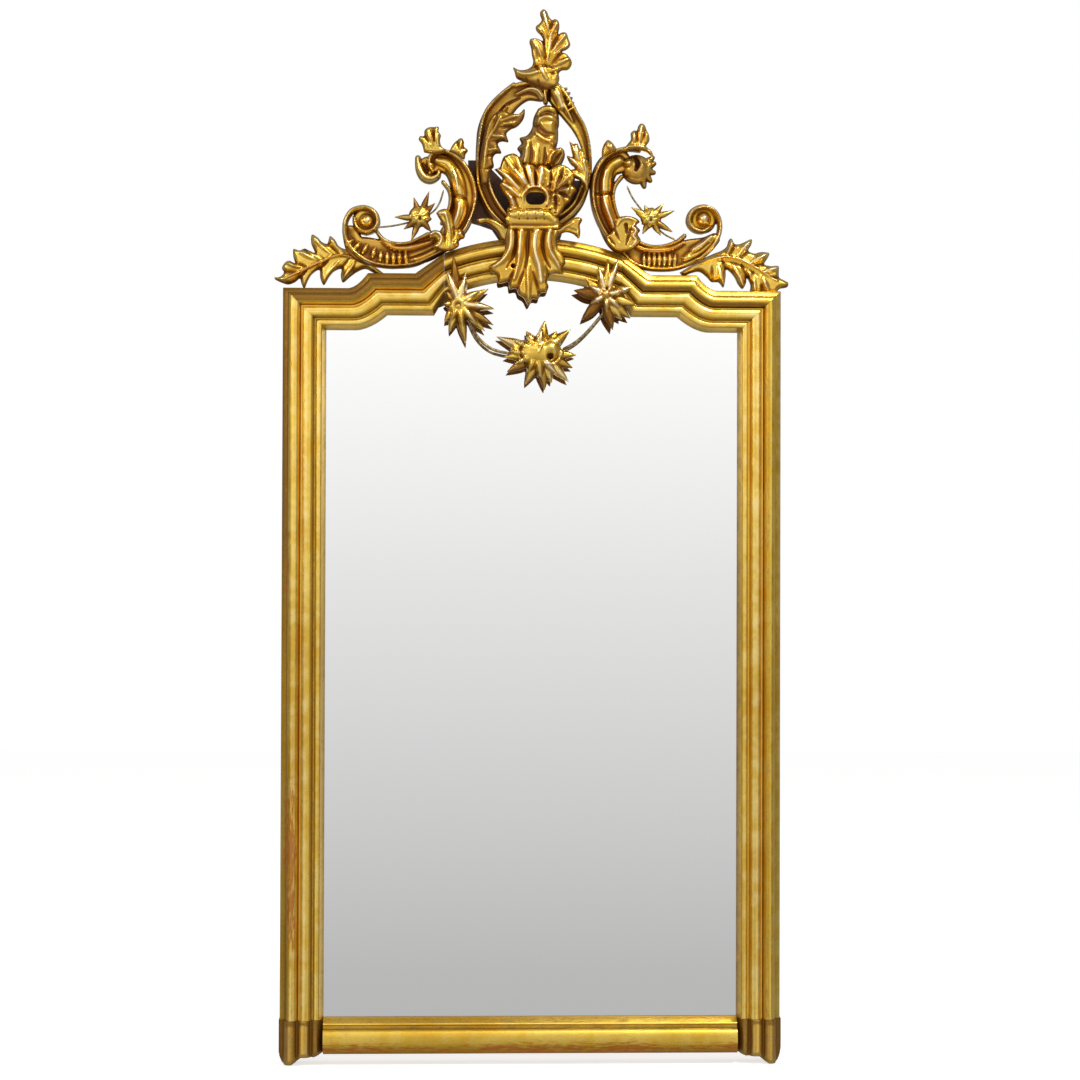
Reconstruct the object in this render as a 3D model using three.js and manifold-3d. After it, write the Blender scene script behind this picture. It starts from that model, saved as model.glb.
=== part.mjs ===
// A gilt wood pier mirror with a pierced rocaille crest, in millimetres, +Z up.
// The wall is the plane y = 0 and the front faces -Y. "Depth" is the distance in front of the wall.
import * as THREE from "three";
import { mergeVertices } from "three/addons/utils/BufferGeometryUtils.js";
import Module from "manifold-3d";

const wasm = await Module();
wasm.setup();

// ---------------------------------------------------------------- driving dimensions
const jointGap = 0.3; // between neighbouring pieces
const past = 1; // how far a cutting solid runs past the face it opens
const reach = 3000; // larger than the mirror: half-space cutters run this far

// Side and top moulding: widths of its members, from the outer edge to the glass
const filletWidth = 11;
const torusWidth = 23;
const stepWidth = 4;
const reedWidth = 20;
const grooveWidth = 5;
const beadWidth = 12;
const sightWidth = 7;
const stileWidth =
  filletWidth + torusWidth + stepWidth + reedWidth + grooveWidth + beadWidth + sightWidth;
const topRailWidth = 79;
// ... and depths of its members in front of the wall
const edgeDepth = 46;
const torusFootDepth = 52;
const torusCrestDepth = 68;
const stepDepth = 54;
const reedCrestDepth = 65;
const grooveDepth = 48;
const beadCrestDepth = 57;
const sightDepth = 38;
const filletRound = 1; // the fillet's softened inner edge
const beadLift = 2; // from the groove's bottom to the bead's foot

// Frame outline
const frameWidth = 950;
const shoulderHeight = 1471; // from the feet to the top of the outer shoulders
const stepRise = 29;
const shoulderEnd = 352; // these four are distances from the centre line, on the outer edge
const stepEnd = 314;
const slopeStart = 224;
const archHalfWidth = 169;
const slopeRise = 39;
const sightShoulderEnd = 338; // and these three on the sight edge
const sightStepEnd = 277;
const sightSlopeStart = 188;
const archRadius = 485;
const archSteps = 14;
const stepCurveSteps = 6;
const covePower = 1.8; // leaves the low end flat and meets the high end in a corner

// Bottom rail and feet
const bottomRailBase = 20; // its underside, above the feet's lowest points
const bottomRailHeight = 67;
const bottomSightWidth = 9;
const bottomBeadWidth = 6;
const bottomBeadRise = 4;
const bottomGrooveWidth = 5;
const bottomGrooveDepth = 47;
const ovoloCrestDepth = 66;
const footHeight = 84;
const footProud = 2; // each foot past the stile's face and outer side
const toeRound = 23; // height of the rounded outer corner of a toe
const toeWidth = 12; // from the outer side to the toe's flat sole
const soleWidth = 12;
const toeRise = 13; // from the sole to the scrolled notch behind it
const notchStart = 42; // these two are distances from the outer side
const notchEnd = 66;

// Rebate, glass and backing
const rebateWidth = 14;
const rebateDepth = 33; // wall to the lip that the glass lies against
const glassThickness = 4;
const glassClearance = 1.5; // around the glass's edge
const boardThickness = 8;
const boardJoint = 1; // between two back boards
const lowerBoardTop = 540;
const middleBoardTop = 1010;
const battenThickness = 10;
const battenHeight = 90;
const lowerBattenHeight = 300; // centre line
const upperBattenDrop = 71; // from the rebate's top at the shoulders to the upper batten

// Hangers: a strap with a rolled knuckle, and a D-ring that swings in it
const hangerOffset = 250; // from the centre line
const strapWidth = 26;
const strapLength = 52;
const strapThickness = 1.6;
const ringWire = 2; // radius
const knuckleClearance = 0.4;
const knuckleWall = 1.4;
const ringDrop = 34;
const ringHalfWidth = 19;
const screwRadius = 2;
const screwHeadRadius = 4;
const screwHeadHeight = 1.2;
const screwLength = 9;
const screwPitch = 24;
const screwEdge = 5; // from the knuckle to the first screw's head
const hingeBelowBatten = 15; // hinge line below the batten's centre line

// Crest: layers of carving, each glued to the one behind it
const backLayer = 8;
const backLayerThickness = 14;
const scrollThickness = 32;
const leafThickness = 15;
const shellThickness = 22;
const claspThickness = 26;
const bandThickness = 20;
const budThickness = 28;
const leafEdge = 3; // chamfers of the carvings' front edges
const shellEdge = 4;
const claspEdge = 5;
const voluteWeb = 24; // radii of the thin webs behind the two kinds of curl
const knobWeb = 18;
const webShare = 1 / 3; // of a scroll's thickness
const petalShare = 0.4; // of a flower's thickness
const garlandWire = 3; // radius
const rosetteWire = 2; // radius
const rosetteThickness = 18;
const flowerThickness = 34;

// ---------------------------------------------------------------- worked-out places
const halfWidth = frameWidth / 2;
const sightHalfWidth = halfWidth - stileWidth;
const raisedHeight = shoulderHeight + stepRise;
const archFootHeight = raisedHeight + slopeRise;
const archCentre = archFootHeight - Math.sqrt(archRadius ** 2 - archHalfWidth ** 2);
const bottomSight = bottomRailBase + bottomRailHeight;
const scrollLayer = backLayer + backLayerThickness + jointGap;
const leafLayer = scrollLayer + scrollThickness + jointGap;
const frameFront = torusCrestDepth + jointGap; // back of what lies on the moulding's face
const bandLayer = leafLayer + shellThickness + jointGap;
const arch = (x, radius) => archCentre + Math.sqrt(radius ** 2 - x ** 2);
const crown = arch(0, archRadius);

// Height of the frame's outer top edge at a distance x from the centre line
function topEdge(x) {
  const d = Math.abs(x);
  if (d <= archHalfWidth) return arch(d, archRadius);
  if (d <= slopeStart) {
    return raisedHeight + (slopeRise * (slopeStart - d)) / (slopeStart - archHalfWidth);
  }
  if (d <= stepEnd) return raisedHeight;
  if (d >= shoulderEnd) return shoulderHeight;
  return shoulderHeight + stepRise * cove((shoulderEnd - d) / (shoulderEnd - stepEnd));
}

// The cove of the shoulder's step, from 0 to 1
function cove(f) {
  return Math.pow(f, covePower);
}

// ---------------------------------------------------------------- materials
const gilt = (color, roughness) =>
  new THREE.MeshStandardMaterial({ color, roughness, metalness: 0.85 });
const finishes = {
  moulding: () => gilt(0xb8892f, 0.4),
  carving: () => gilt(0xc2912f, 0.42),
  wire: () => gilt(0x9c8550, 0.5),
  glass: () => new THREE.MeshStandardMaterial({ color: 0xdfe2e0, roughness: 0.03, metalness: 1 }),
  backing: () => new THREE.MeshStandardMaterial({ color: 0x8a6a45, roughness: 0.8, metalness: 0 }),
  iron: () => new THREE.MeshStandardMaterial({ color: 0x3b3632, roughness: 0.6, metalness: 0.9 }),
};

const mirror = new THREE.Group();
mirror.name = "mirror";

function add(name, finish, geometry) {
  const mesh = new THREE.Mesh(geometry, finishes[finish]());
  mesh.name = name;
  mirror.add(mesh);
}

// ---------------------------------------------------------------- solids
function meshGeometry(points, faces) {
  const geometry = new THREE.BufferGeometry();
  geometry.setAttribute("position", new THREE.Float32BufferAttribute(points.flat(), 3));
  geometry.setIndex(faces.flat());
  return volume(geometry) < 0 ? turnedInsideOut(geometry) : geometry;
}

function volume(geometry) {
  const p = geometry.attributes.position;
  const index = geometry.index.array;
  const [a, b, c] = [new THREE.Vector3(), new THREE.Vector3(), new THREE.Vector3()];
  let sum = 0;
  for (let i = 0; i < index.length; i += 3) {
    a.fromBufferAttribute(p, index[i]);
    b.fromBufferAttribute(p, index[i + 1]);
    c.fromBufferAttribute(p, index[i + 2]);
    sum += a.dot(b.cross(c)) / 6;
  }
  return sum;
}

function turnedInsideOut(geometry) {
  const index = geometry.index.array;
  for (let i = 0; i < index.length; i += 3) [index[i], index[i + 1]] = [index[i + 1], index[i]];
  return geometry;
}

function toSolid(geometry) {
  const bare = geometry.clone();
  bare.deleteAttribute("normal");
  bare.deleteAttribute("uv");
  const merged = mergeVertices(bare, 1e-4);
  return new wasm.Manifold(
    new wasm.Mesh({
      numProp: 3,
      vertProperties: merged.attributes.position.array,
      triVerts: new Uint32Array(merged.index.array),
    }),
  );
}

function toGeometry(solid) {
  const { numProp, vertProperties, triVerts } = solid.getMesh();
  const geometry = new THREE.BufferGeometry();
  const positions = [];
  for (let i = 0; i < vertProperties.length; i += numProp) {
    positions.push(...vertProperties.slice(i, i + 3));
  }
  geometry.setAttribute("position", new THREE.Float32BufferAttribute(positions, 3));
  geometry.setIndex(Array.from(triVerts));
  return geometry;
}

const joined = (...geometries) => toGeometry(geometries.map(toSolid).reduce((a, b) => a.add(b)));
const cut = (geometry, ...tools) =>
  toGeometry(tools.map(toSolid).reduce((a, b) => a.subtract(b), toSolid(geometry)));
const common = (a, b) => toGeometry(toSolid(a).intersect(toSolid(b)));

// Joins closed rings of points into a solid, with flat ends
function loft(rings) {
  const count = rings[0].length;
  const faces = [];
  for (let i = 0; i + 1 < rings.length; i++) {
    for (let j = 0; j < count; j++) {
      const [a, b] = [i * count + j, i * count + ((j + 1) % count)];
      faces.push([a, b, b + count], [a, b + count, a + count]);
    }
  }
  return { points: rings.flat(), faces, count };
}

function capped({ points, faces, count }, section) {
  const end = points.length - count;
  const turned = THREE.ShapeUtils.isClockWise(section);
  for (const face of THREE.ShapeUtils.triangulateShape(section, [])) {
    const [a, b, c] = turned ? face.reverse() : face;
    faces.push([a, c, b], [a + end, b + end, c + end]);
  }
  return meshGeometry(points, faces);
}

// A flat slab with the given outline [x, z], its back at one depth, its front edge chamfered
function slab(outline, backDepth, thickness, chamfer = 0, holes = []) {
  const shape = new THREE.Shape(outline.map(([x, z]) => new THREE.Vector2(x, z)));
  for (const [x, z, radius] of holes) {
    shape.holes.push(new THREE.Path().absarc(x, z, radius, 0, 2 * Math.PI));
  }
  const geometry = new THREE.ExtrudeGeometry(shape, {
    depth: thickness - chamfer,
    curveSegments: 8,
    bevelEnabled: chamfer > 0,
    bevelThickness: chamfer,
    bevelSize: chamfer * 0.8,
    bevelOffset: -chamfer * 0.8,
    bevelSegments: 1,
  });
  geometry.rotateX(Math.PI / 2);
  geometry.translate(0, -backDepth, 0);
  // A chamfer on the back would stand out of the back plane: it is flattened there
  const p = geometry.attributes.position;
  for (let i = 0; i < p.count; i++) p.setY(i, Math.min(p.getY(i), -backDepth));
  return geometry;
}

// A box from its ranges in x, z and depth
function box(x0, x1, z0, z1, depth0, depth1) {
  const geometry = new THREE.BoxGeometry(x1 - x0, depth1 - depth0, z1 - z0);
  geometry.translate((x0 + x1) / 2, -(depth0 + depth1) / 2, (z0 + z1) / 2);
  return geometry;
}

// Everything below the frame's top edge, and the gap over it: what stands on the frame is cut to it
function frameSeat() {
  const outline = [[-reach, 0], [reach, 0]];
  const turn = [reach, shoulderEnd, stepEnd, slopeStart, archHalfWidth];
  for (let i = 0; i + 1 < turn.length; i++) {
    const steps = i === 1 ? stepCurveSteps : 1;
    for (let k = 0; k < steps; k++) {
      const x = THREE.MathUtils.lerp(turn[i], turn[i + 1], k / steps);
      outline.push([x, topEdge(x) + jointGap]);
    }
  }
  for (let k = 0; k <= archSteps; k++) {
    const x = archHalfWidth * (1 - (2 * k) / archSteps);
    outline.push([x, topEdge(x) + jointGap]);
  }
  const left = outline.slice(2, 2 + 3 + stepCurveSteps).map(([x, z]) => [-x, z]);
  return slab([...outline, ...left.reverse()], -reach, 2 * reach);
}

// ---------------------------------------------------------------- mouldings
// Points of half an ellipse over a member, from its outer foot to its inner foot
function swell(start, width, footDepth, crestDepth, steps) {
  return Array.from({ length: steps + 1 }, (_, k) => {
    const angle = (Math.PI * k) / steps;
    const across = start + (width * (1 - Math.cos(angle))) / 2;
    return [across, footDepth + (crestDepth - footDepth) * Math.sin(angle)];
  });
}

// The moulding's section as [across, depth] from its outer edge, back face included
function mouldingSection() {
  const torusStart = filletWidth;
  const reedStart = torusStart + torusWidth + stepWidth;
  const grooveStart = reedStart + reedWidth;
  const beadStart = grooveStart + grooveWidth;
  return [
    [0, 0],
    [0, edgeDepth],
    [filletWidth - filletRound, edgeDepth + filletRound],
    ...swell(torusStart, torusWidth, torusFootDepth, torusCrestDepth, 6),
    ...swell(reedStart, reedWidth, stepDepth, reedCrestDepth, 5),
    [grooveStart + grooveWidth / 2, grooveDepth],
    ...swell(beadStart, beadWidth, grooveDepth + beadLift, beadCrestDepth, 4),
    [stileWidth, sightDepth],
    [stileWidth, rebateDepth],
    [stileWidth - rebateWidth, rebateDepth],
    [stileWidth - rebateWidth, 0],
  ];
}

// A moulding ruled between pairs of points [x, z] on its outer and its sight edge
function moulding(pairs, section, width) {
  const rings = pairs.map(([outer, sight]) =>
    section.map(([across, depth]) => {
      const f = across / width;
      const x = outer[0] + (sight[0] - outer[0]) * f;
      const z = outer[1] + (sight[1] - outer[1]) * f;
      return [x, -depth, z];
    }),
  );
  const flat = section.map(([across, depth]) => new THREE.Vector2(across, depth));
  return capped(loft(rings), flat);
}

// Pairs along the stepped shoulder of the top rail, from the corner to the arch
function shoulderPairs(side) {
  const sightShoulder = shoulderHeight - topRailWidth;
  const pairs = [[[halfWidth, shoulderHeight], [sightHalfWidth, sightShoulder]]];
  for (let k = 0; k <= stepCurveSteps; k++) {
    const f = k / stepCurveSteps;
    const rise = stepRise * cove(f);
    pairs.push([
      [THREE.MathUtils.lerp(shoulderEnd, stepEnd, f), shoulderHeight + rise],
      [THREE.MathUtils.lerp(sightShoulderEnd, sightStepEnd, f), sightShoulder + rise],
    ]);
  }
  pairs.push([[slopeStart, raisedHeight], [sightSlopeStart, sightShoulder + stepRise]]);
  const end = archHalfWidth + jointGap;
  pairs.push([[end, topEdge(end)], [end, arch(archHalfWidth, archRadius - topRailWidth)]]);
  return pairs.map((pair) => pair.map(([x, z]) => [side * x, z]));
}

function archPairs() {
  return Array.from({ length: archSteps + 1 }, (_, k) => {
    const x = archHalfWidth * (1 - (2 * k) / archSteps);
    return [[x, arch(x, archRadius)], [x, arch(x, archRadius - topRailWidth)]];
  });
}

function stilePairs(side) {
  const mitreGap = jointGap * Math.SQRT2;
  const low = footHeight + jointGap;
  return [
    [[side * halfWidth, low], [side * sightHalfWidth, low]],
    [
      [side * halfWidth, shoulderHeight - mitreGap],
      [side * sightHalfWidth, shoulderHeight - topRailWidth - mitreGap],
    ],
  ];
}

// A foot carries the stile's members on, a little prouder, down to a scrolled toe
function foot(side) {
  const section = mouldingSection().map(([across, depth]) => {
    const front = depth > rebateDepth ? depth + footProud : depth;
    return [across, front];
  });
  const outer = side * (halfWidth + footProud);
  const block = moulding(
    [
      [[outer, 0], [side * sightHalfWidth, 0]],
      [[outer, footHeight], [side * sightHalfWidth, footHeight]],
    ],
    [
      ...section.slice(0, -2),
      [stileWidth, 0],
    ],
    stileWidth,
  );
  // The toe: low and round under the torus, rising to the rail
  const toe = new THREE.Shape();
  const soleEnd = toeWidth + soleWidth;
  toe.moveTo(-past, footHeight + past);
  toe.lineTo(-past, toeRound);
  toe.lineTo(0, toeRound);
  toe.quadraticCurveTo(0, 0, toeWidth, 0);
  toe.lineTo(soleEnd, 0);
  toe.quadraticCurveTo((soleEnd + notchStart) / 2, toeRise / 3, notchStart, toeRise);
  toe.lineTo(notchEnd, toeRise);
  toe.quadraticCurveTo((notchEnd + stileWidth) / 2, toeRise, stileWidth + reach, bottomRailBase);
  toe.lineTo(stileWidth + reach, footHeight + past);
  const outline = toe.getPoints(4).map(({ x, y }) => [outer - side * x, y]);
  const ends = [side * (sightHalfWidth - past), side * (sightHalfWidth + rebateWidth)];
  const rebateFloor = bottomSight - rebateWidth;
  const rebate = box(
    Math.min(...ends), Math.max(...ends), rebateFloor, footHeight + past, -past, rebateDepth,
  );
  return cut(common(block, slab(outline, -past, reach)), rebate);
}

function bottomRail() {
  const beadStart = bottomSightWidth;
  const ovoloStart = beadStart + bottomBeadWidth + bottomGrooveWidth;
  const section = [
    [0, rebateDepth],
    [0, sightDepth],
    [beadStart, grooveDepth],
    ...swell(beadStart, bottomBeadWidth, grooveDepth, grooveDepth + bottomBeadRise, 3).slice(1),
    [ovoloStart, bottomGrooveDepth],
    ...swell(ovoloStart, bottomRailHeight - ovoloStart, torusFootDepth, ovoloCrestDepth, 6),
    [bottomRailHeight, edgeDepth],
    [bottomRailHeight, 0],
    [rebateWidth, 0],
    [rebateWidth, rebateDepth],
  ];
  const x = sightHalfWidth - jointGap;
  const ends = [-x, x].map((end) => [[end, bottomSight], [end, bottomRailBase]]);
  return moulding(ends, section, bottomRailHeight);
}

add("left_stile", "moulding", moulding(stilePairs(-1), mouldingSection(), stileWidth));
add("right_stile", "moulding", moulding(stilePairs(1), mouldingSection(), stileWidth));
add("top_rail_left", "moulding", moulding(shoulderPairs(-1), mouldingSection(), stileWidth));
add("top_rail_right", "moulding", moulding(shoulderPairs(1), mouldingSection(), stileWidth));
add("top_arch", "moulding", moulding(archPairs(), mouldingSection(), stileWidth));
add("bottom_rail", "moulding", bottomRail());
add("corner_foot_left", "moulding", foot(-1));
add("corner_foot_right", "moulding", foot(1));

// ---------------------------------------------------------------- glass and backing
// Outline of the rebate, drawn in by a clearance, between two heights
function rebateOutline(clearance, low, high = Infinity) {
  const inset = (rebateWidth - clearance) / stileWidth;
  const side = [];
  for (const [outer, sight] of [...shoulderPairs(1), ...archPairs().slice(1, archSteps / 2 + 1)]) {
    const x = sight[0] + (outer[0] - sight[0]) * inset;
    const z = sight[1] + (outer[1] - sight[1]) * inset;
    side.push([x, z]);
  }
  side[0][0] = sightHalfWidth + rebateWidth - clearance;
  const floor = [side[0][0], low];
  const half = [floor, ...side].filter(([, z]) => z < high);
  if (high < Infinity) half.push([side[0][0], high]);
  const leftHalf = half.map(([x, z]) => [-x, z]).reverse();
  return [...half, ...leftHalf.filter(([x]) => x < 0)];
}

const rebateTop = shoulderHeight - topRailWidth + rebateWidth;
const upperBattenHeight = rebateTop - upperBattenDrop - battenHeight / 2;
const glassBase = bottomSight - rebateWidth + glassClearance;
const glassFront = rebateDepth - jointGap;
const boardFront = glassFront - glassThickness - jointGap;
const battenFront = boardFront - boardThickness - jointGap;

add(
  "mirror_glass",
  "glass",
  slab(rebateOutline(glassClearance, glassBase), glassFront - glassThickness, glassThickness),
);

const boards = [
  ["back_board_lower", glassBase, lowerBoardTop],
  ["back_board_middle", lowerBoardTop + boardJoint, middleBoardTop],
  ["back_board_upper", middleBoardTop + boardJoint, Infinity],
];
for (const [name, low, high] of boards) {
  const outline = rebateOutline(jointGap, low, high);
  add(name, "backing", slab(outline, boardFront - boardThickness, boardThickness));
}

const battenBack = battenFront - battenThickness;
function batten(height) {
  const x = sightHalfWidth + rebateWidth - jointGap;
  return box(-x, x, height - battenHeight / 2, height + battenHeight / 2, battenBack, battenFront);
}

// ---------------------------------------------------------------- hangers
const knuckleRadius = ringWire + knuckleClearance + knuckleWall;
const strapFront = battenBack - jointGap;
const strapBack = strapFront - strapThickness;
const hingeDepth = strapFront - knuckleRadius;
const hingeHeight = upperBattenHeight - hingeBelowBatten;
const firstScrew = hingeHeight + knuckleRadius + screwHeadRadius + screwEdge;

// A round bar along the depth, from its back face to its front face
function bar(radius, x, z, depth0, depth1, sides) {
  const geometry = new THREE.CylinderGeometry(radius, radius, depth1 - depth0, sides);
  geometry.translate(x, -(depth0 + depth1) / 2, z);
  return geometry;
}

const screwHeights = [firstScrew, firstScrew + screwPitch];
const hangers = [
  ["left", -hangerOffset],
  ["right", hangerOffset],
];

function strap(x) {
  const roll = new THREE.CylinderGeometry(knuckleRadius, knuckleRadius, strapWidth, 16);
  roll.rotateZ(Math.PI / 2).translate(x, -hingeDepth, hingeHeight);
  const pinHole = ringWire + knuckleClearance;
  const bore = new THREE.CylinderGeometry(pinHole, pinHole, 2 * strapWidth, 16);
  bore.rotateZ(Math.PI / 2).translate(x, -hingeDepth, hingeHeight);
  const side = strapWidth / 2;
  const plate = box(
    x - side, x + side, hingeHeight, hingeHeight + strapLength, strapBack, strapFront,
  );
  const holes = screwHeights.map((z) =>
    bar(screwRadius + jointGap, x, z, strapBack - past, strapFront + past, 12),
  );
  return cut(joined(roll, plate), bore, ...holes);
}

function screw(x, z) {
  const headFront = strapBack - jointGap;
  const headBack = headFront - screwHeadHeight;
  const shank = bar(screwRadius, x, z, headBack, strapBack + screwLength, 10);
  return joined(shank, bar(screwHeadRadius, x, z, headBack, headFront, 12));
}

// The D-ring's wire: a bar through the knuckle, two bends and a round bow
function ringPath() {
  const path = new THREE.CurvePath();
  const straight = strapWidth / 2 + 1;
  const bend = ringHalfWidth - straight;
  const bow = -(ringDrop - ringHalfWidth);
  const corner = (sign, from, to) => {
    const centre = sign * straight;
    return new THREE.EllipseCurve(centre, -bend, bend, bend, from, to, true);
  };
  path.add(new THREE.LineCurve(new THREE.Vector2(-straight, 0), new THREE.Vector2(straight, 0)));
  path.add(corner(1, Math.PI / 2, 0));
  path.add(
    new THREE.EllipseCurve(0, bow, ringHalfWidth, ringHalfWidth, 0, -Math.PI, true),
  );
  path.add(corner(-1, Math.PI, Math.PI / 2));
  const points = path.curves.flatMap((curve, i) => curve.getPoints([1, 3, 12, 3][i]));
  return points.filter((p, i) => p.distanceTo(points[(i + 1) % points.length]) > 0.01);
}

function ring(x) {
  const path = ringPath();
  const sides = 8;
  const rings = path.map((p, i) => {
    const before = path[(i + path.length - 1) % path.length];
    const after = path[(i + 1) % path.length];
    const along = after.clone().sub(before).normalize();
    return Array.from({ length: sides }, (_, k) => {
      const angle = (2 * Math.PI * k) / sides;
      const out = ringWire * Math.cos(angle);
      return [
        x + p.x - along.y * out,
        -hingeDepth + ringWire * Math.sin(angle),
        hingeHeight + p.y + along.x * out,
      ];
    });
  });
  const { points, faces } = loft([...rings, rings[0]]);
  const unique = sides * path.length;
  const wrapped = faces.map((face) => face.map((i) => i % unique));
  return meshGeometry(points.slice(0, unique), wrapped);
}

const upperBatten = cut(
  batten(upperBattenHeight),
  ...hangers.flatMap(([, x]) =>
    screwHeights.map((z) => {
      const end = strapBack + screwLength + jointGap;
      return bar(screwRadius + jointGap, x, z, battenBack - past, end, 12);
    }),
  ),
);
add("batten_lower", "backing", batten(lowerBattenHeight));
add("batten_upper", "backing", upperBatten);
for (const [side, x] of hangers) {
  add(`hanger_strap_${side}`, "iron", strap(x));
  add(`hanger_ring_${side}`, "iron", ring(x));
  screwHeights.forEach((z, i) => add(`hanger_screw_${side}_${i + 1}`, "iron", screw(x, z)));
}

// ---------------------------------------------------------------- crest
const seat = frameSeat();

// A carved member with a flat back and a domed front along [x, z, half width] stations
function carved(stations, backDepth, thickness, samples) {
  const route = new THREE.CatmullRomCurve3(
    stations.map(([x, z, w]) => new THREE.Vector3(x, z, w)),
    false,
    "centripetal",
  );
  const arcs = 6;
  const dome = Array.from({ length: arcs + 1 }, (_, k) => (Math.PI * k) / arcs);
  const rings = route.getSpacedPoints(samples).map((p, i) => {
    const along = route.getTangentAt(i / samples);
    const length = Math.hypot(along.x, along.y);
    const [nx, nz] = [-along.y / length, along.x / length];
    return dome.map((angle) => {
      const across = p.z * Math.cos(angle);
      const depth = backDepth + thickness * Math.sin(angle);
      return [p.x + nx * across, -depth, p.y + nz * across];
    });
  });
  const section = dome.map((angle) => new THREE.Vector2(Math.cos(angle), Math.sin(angle)));
  return capped(loft(rings), section);
}

// Stations round a spiral: centre, angles in degrees, radii and half widths from start to end
function spiral([x, z], [from, to], [r0, r1], [w0, w1], steps) {
  return Array.from({ length: steps + 1 }, (_, k) => {
    const f = k / steps;
    const angle = THREE.MathUtils.degToRad(from + (to - from) * f);
    const r = r0 + (r1 - r0) * f;
    return [x + r * Math.cos(angle), z + r * Math.sin(angle), w0 + (w1 - w0) * f];
  });
}

// A boss with a flat back: half a ball, as deep as it is told
function boss(x, z, radius, backDepth, thickness) {
  const geometry = new THREE.SphereGeometry(radius, 10, 6);
  geometry.scale(1, thickness / radius, 1).translate(x, -backDepth, z);
  return common(
    geometry,
    box(x - radius, x + radius, z - radius, z + radius, backDepth, backDepth + thickness),
  );
}

// Crest points are written as [x, height] from the crown of the arch
const onCrown = (points) => points.map(([x, z, ...rest]) => [x, crown + z, ...rest]);
const onShoulder = (points) => points.map(([x, z]) => [x, raisedHeight + z]);
const mirrored = (side, shift, points) =>
  points.map(([x, z, ...rest]) => [side * (x + (side > 0 ? shift : 0)), z, ...rest]);
const seated = (geometry) => cut(geometry, seat);
const leaf = (outline) => slab(onCrown(outline), leafLayer, leafThickness, leafEdge);
const web = (radius, x, z) =>
  bar(radius, x, z, scrollLayer, scrollLayer + scrollThickness * webShare, 12);

// The right-hand scrolls stand a little further out than the left-hand ones
const rightScrollShift = 12;
const rightVoluteShift = 16;
const scrollJoint = archHalfWidth; // where a volute meets its C-scroll, on the left
const junctionTop = 50; // the upright joint between them ends this far over the crown

// Each side's volute scroll: a body lying along the top rail that curls up into a ball
const ballCentre = [317, 31];
const ballRadius = 14;
const voluteBody = [
  [165, -16, 12], [192, -25, 13], [220, -32, 17], [249, -32, 24], [279, -28, 27],
  [305, -18, 24], [331, -3, 16], [348, 14, 10],
];
const voluteCurlTurn = [-8, 248]; // degrees, from the body to the inner end
const voluteCurlRadii = [37, 17];
const voluteCurlWidths = [7, 5.5]; // half widths
function voluteScroll(side) {
  const [centre] = onCrown([ballCentre]);
  const curl = spiral(centre, voluteCurlTurn, voluteCurlRadii, voluteCurlWidths, 12);
  const stations = mirrored(side, rightVoluteShift, [...onCrown(voluteBody), ...curl]);
  const [[ballX, ballZ]] = mirrored(side, rightVoluteShift, [centre]);
  const scroll = joined(
    carved(stations, scrollLayer, scrollThickness, 34),
    boss(ballX, ballZ, ballRadius, scrollLayer, scrollThickness),
    web(voluteWeb, ballX, ballZ),
  );
  const joint = jointLine(side);
  const half = jointGap / 2;
  const inside = side > 0 ? [-reach, joint + half] : [joint - half, reach];
  return cut(scroll, seat, box(...inside, 0, reach, -reach, reach));
}

function jointLine(side) {
  return side * (scrollJoint + (side > 0 ? rightScrollShift : 0));
}

// Each side's C-scroll: it stands on the arch and curls outwards round a knob at its top
const knobCentre = [190, 137];
const knobRadius = 11;
const cScrollBody = [
  [173, -16, 12], [152, 1, 15], [137, 31, 18], [129, 71, 23], [130, 103, 24],
  [133, 131, 21], [150, 155, 14],
];
const cScrollCurlTurn = [112, -165]; // degrees, from the body to the inner end
const cScrollCurlRadii = [26, 14];
const cScrollCurlWidths = [12, 7]; // half widths
function cScroll(side) {
  const [centre] = onCrown([knobCentre]);
  const curl = spiral(centre, cScrollCurlTurn, cScrollCurlRadii, cScrollCurlWidths, 12);
  const stations = mirrored(side, rightScrollShift, [...onCrown(cScrollBody), ...curl]);
  const [[knobX, knobZ]] = mirrored(side, rightScrollShift, [centre]);
  const scroll = joined(
    carved(stations, scrollLayer, scrollThickness, 30),
    boss(knobX, knobZ, knobRadius, scrollLayer, scrollThickness),
    web(knobWeb, knobX, knobZ),
  );
  const joint = jointLine(side);
  const half = jointGap / 2;
  const outside = side > 0 ? [joint - half, reach] : [-reach, joint + half];
  return cut(scroll, seat, box(...outside, 0, crown + junctionTop, -reach, reach));
}

const sides = [
  ["left", -1],
  ["right", 1],
];
for (const [name, side] of sides) {
  add(`volute_scroll_${name}`, "carving", voluteScroll(side));
  add(`c_scroll_${name}`, "carving", cScroll(side));
}

// The dark board behind the middle carving, seated on the arch
const backPlate = [
  [-124, 151], [-91, 151], [-78, 133], [-59, 114], [74, 114], [104, 114],
  [101, 82], [86, 50], [60, 23], [50, -9], [-59, -9], [-78, 19], [-101, 27],
  [-116, 31], [-122, 54],
];
add("crest_back_plate", "backing", seated(slab(onCrown(backPlate), backLayer, backLayerThickness)));

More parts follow.
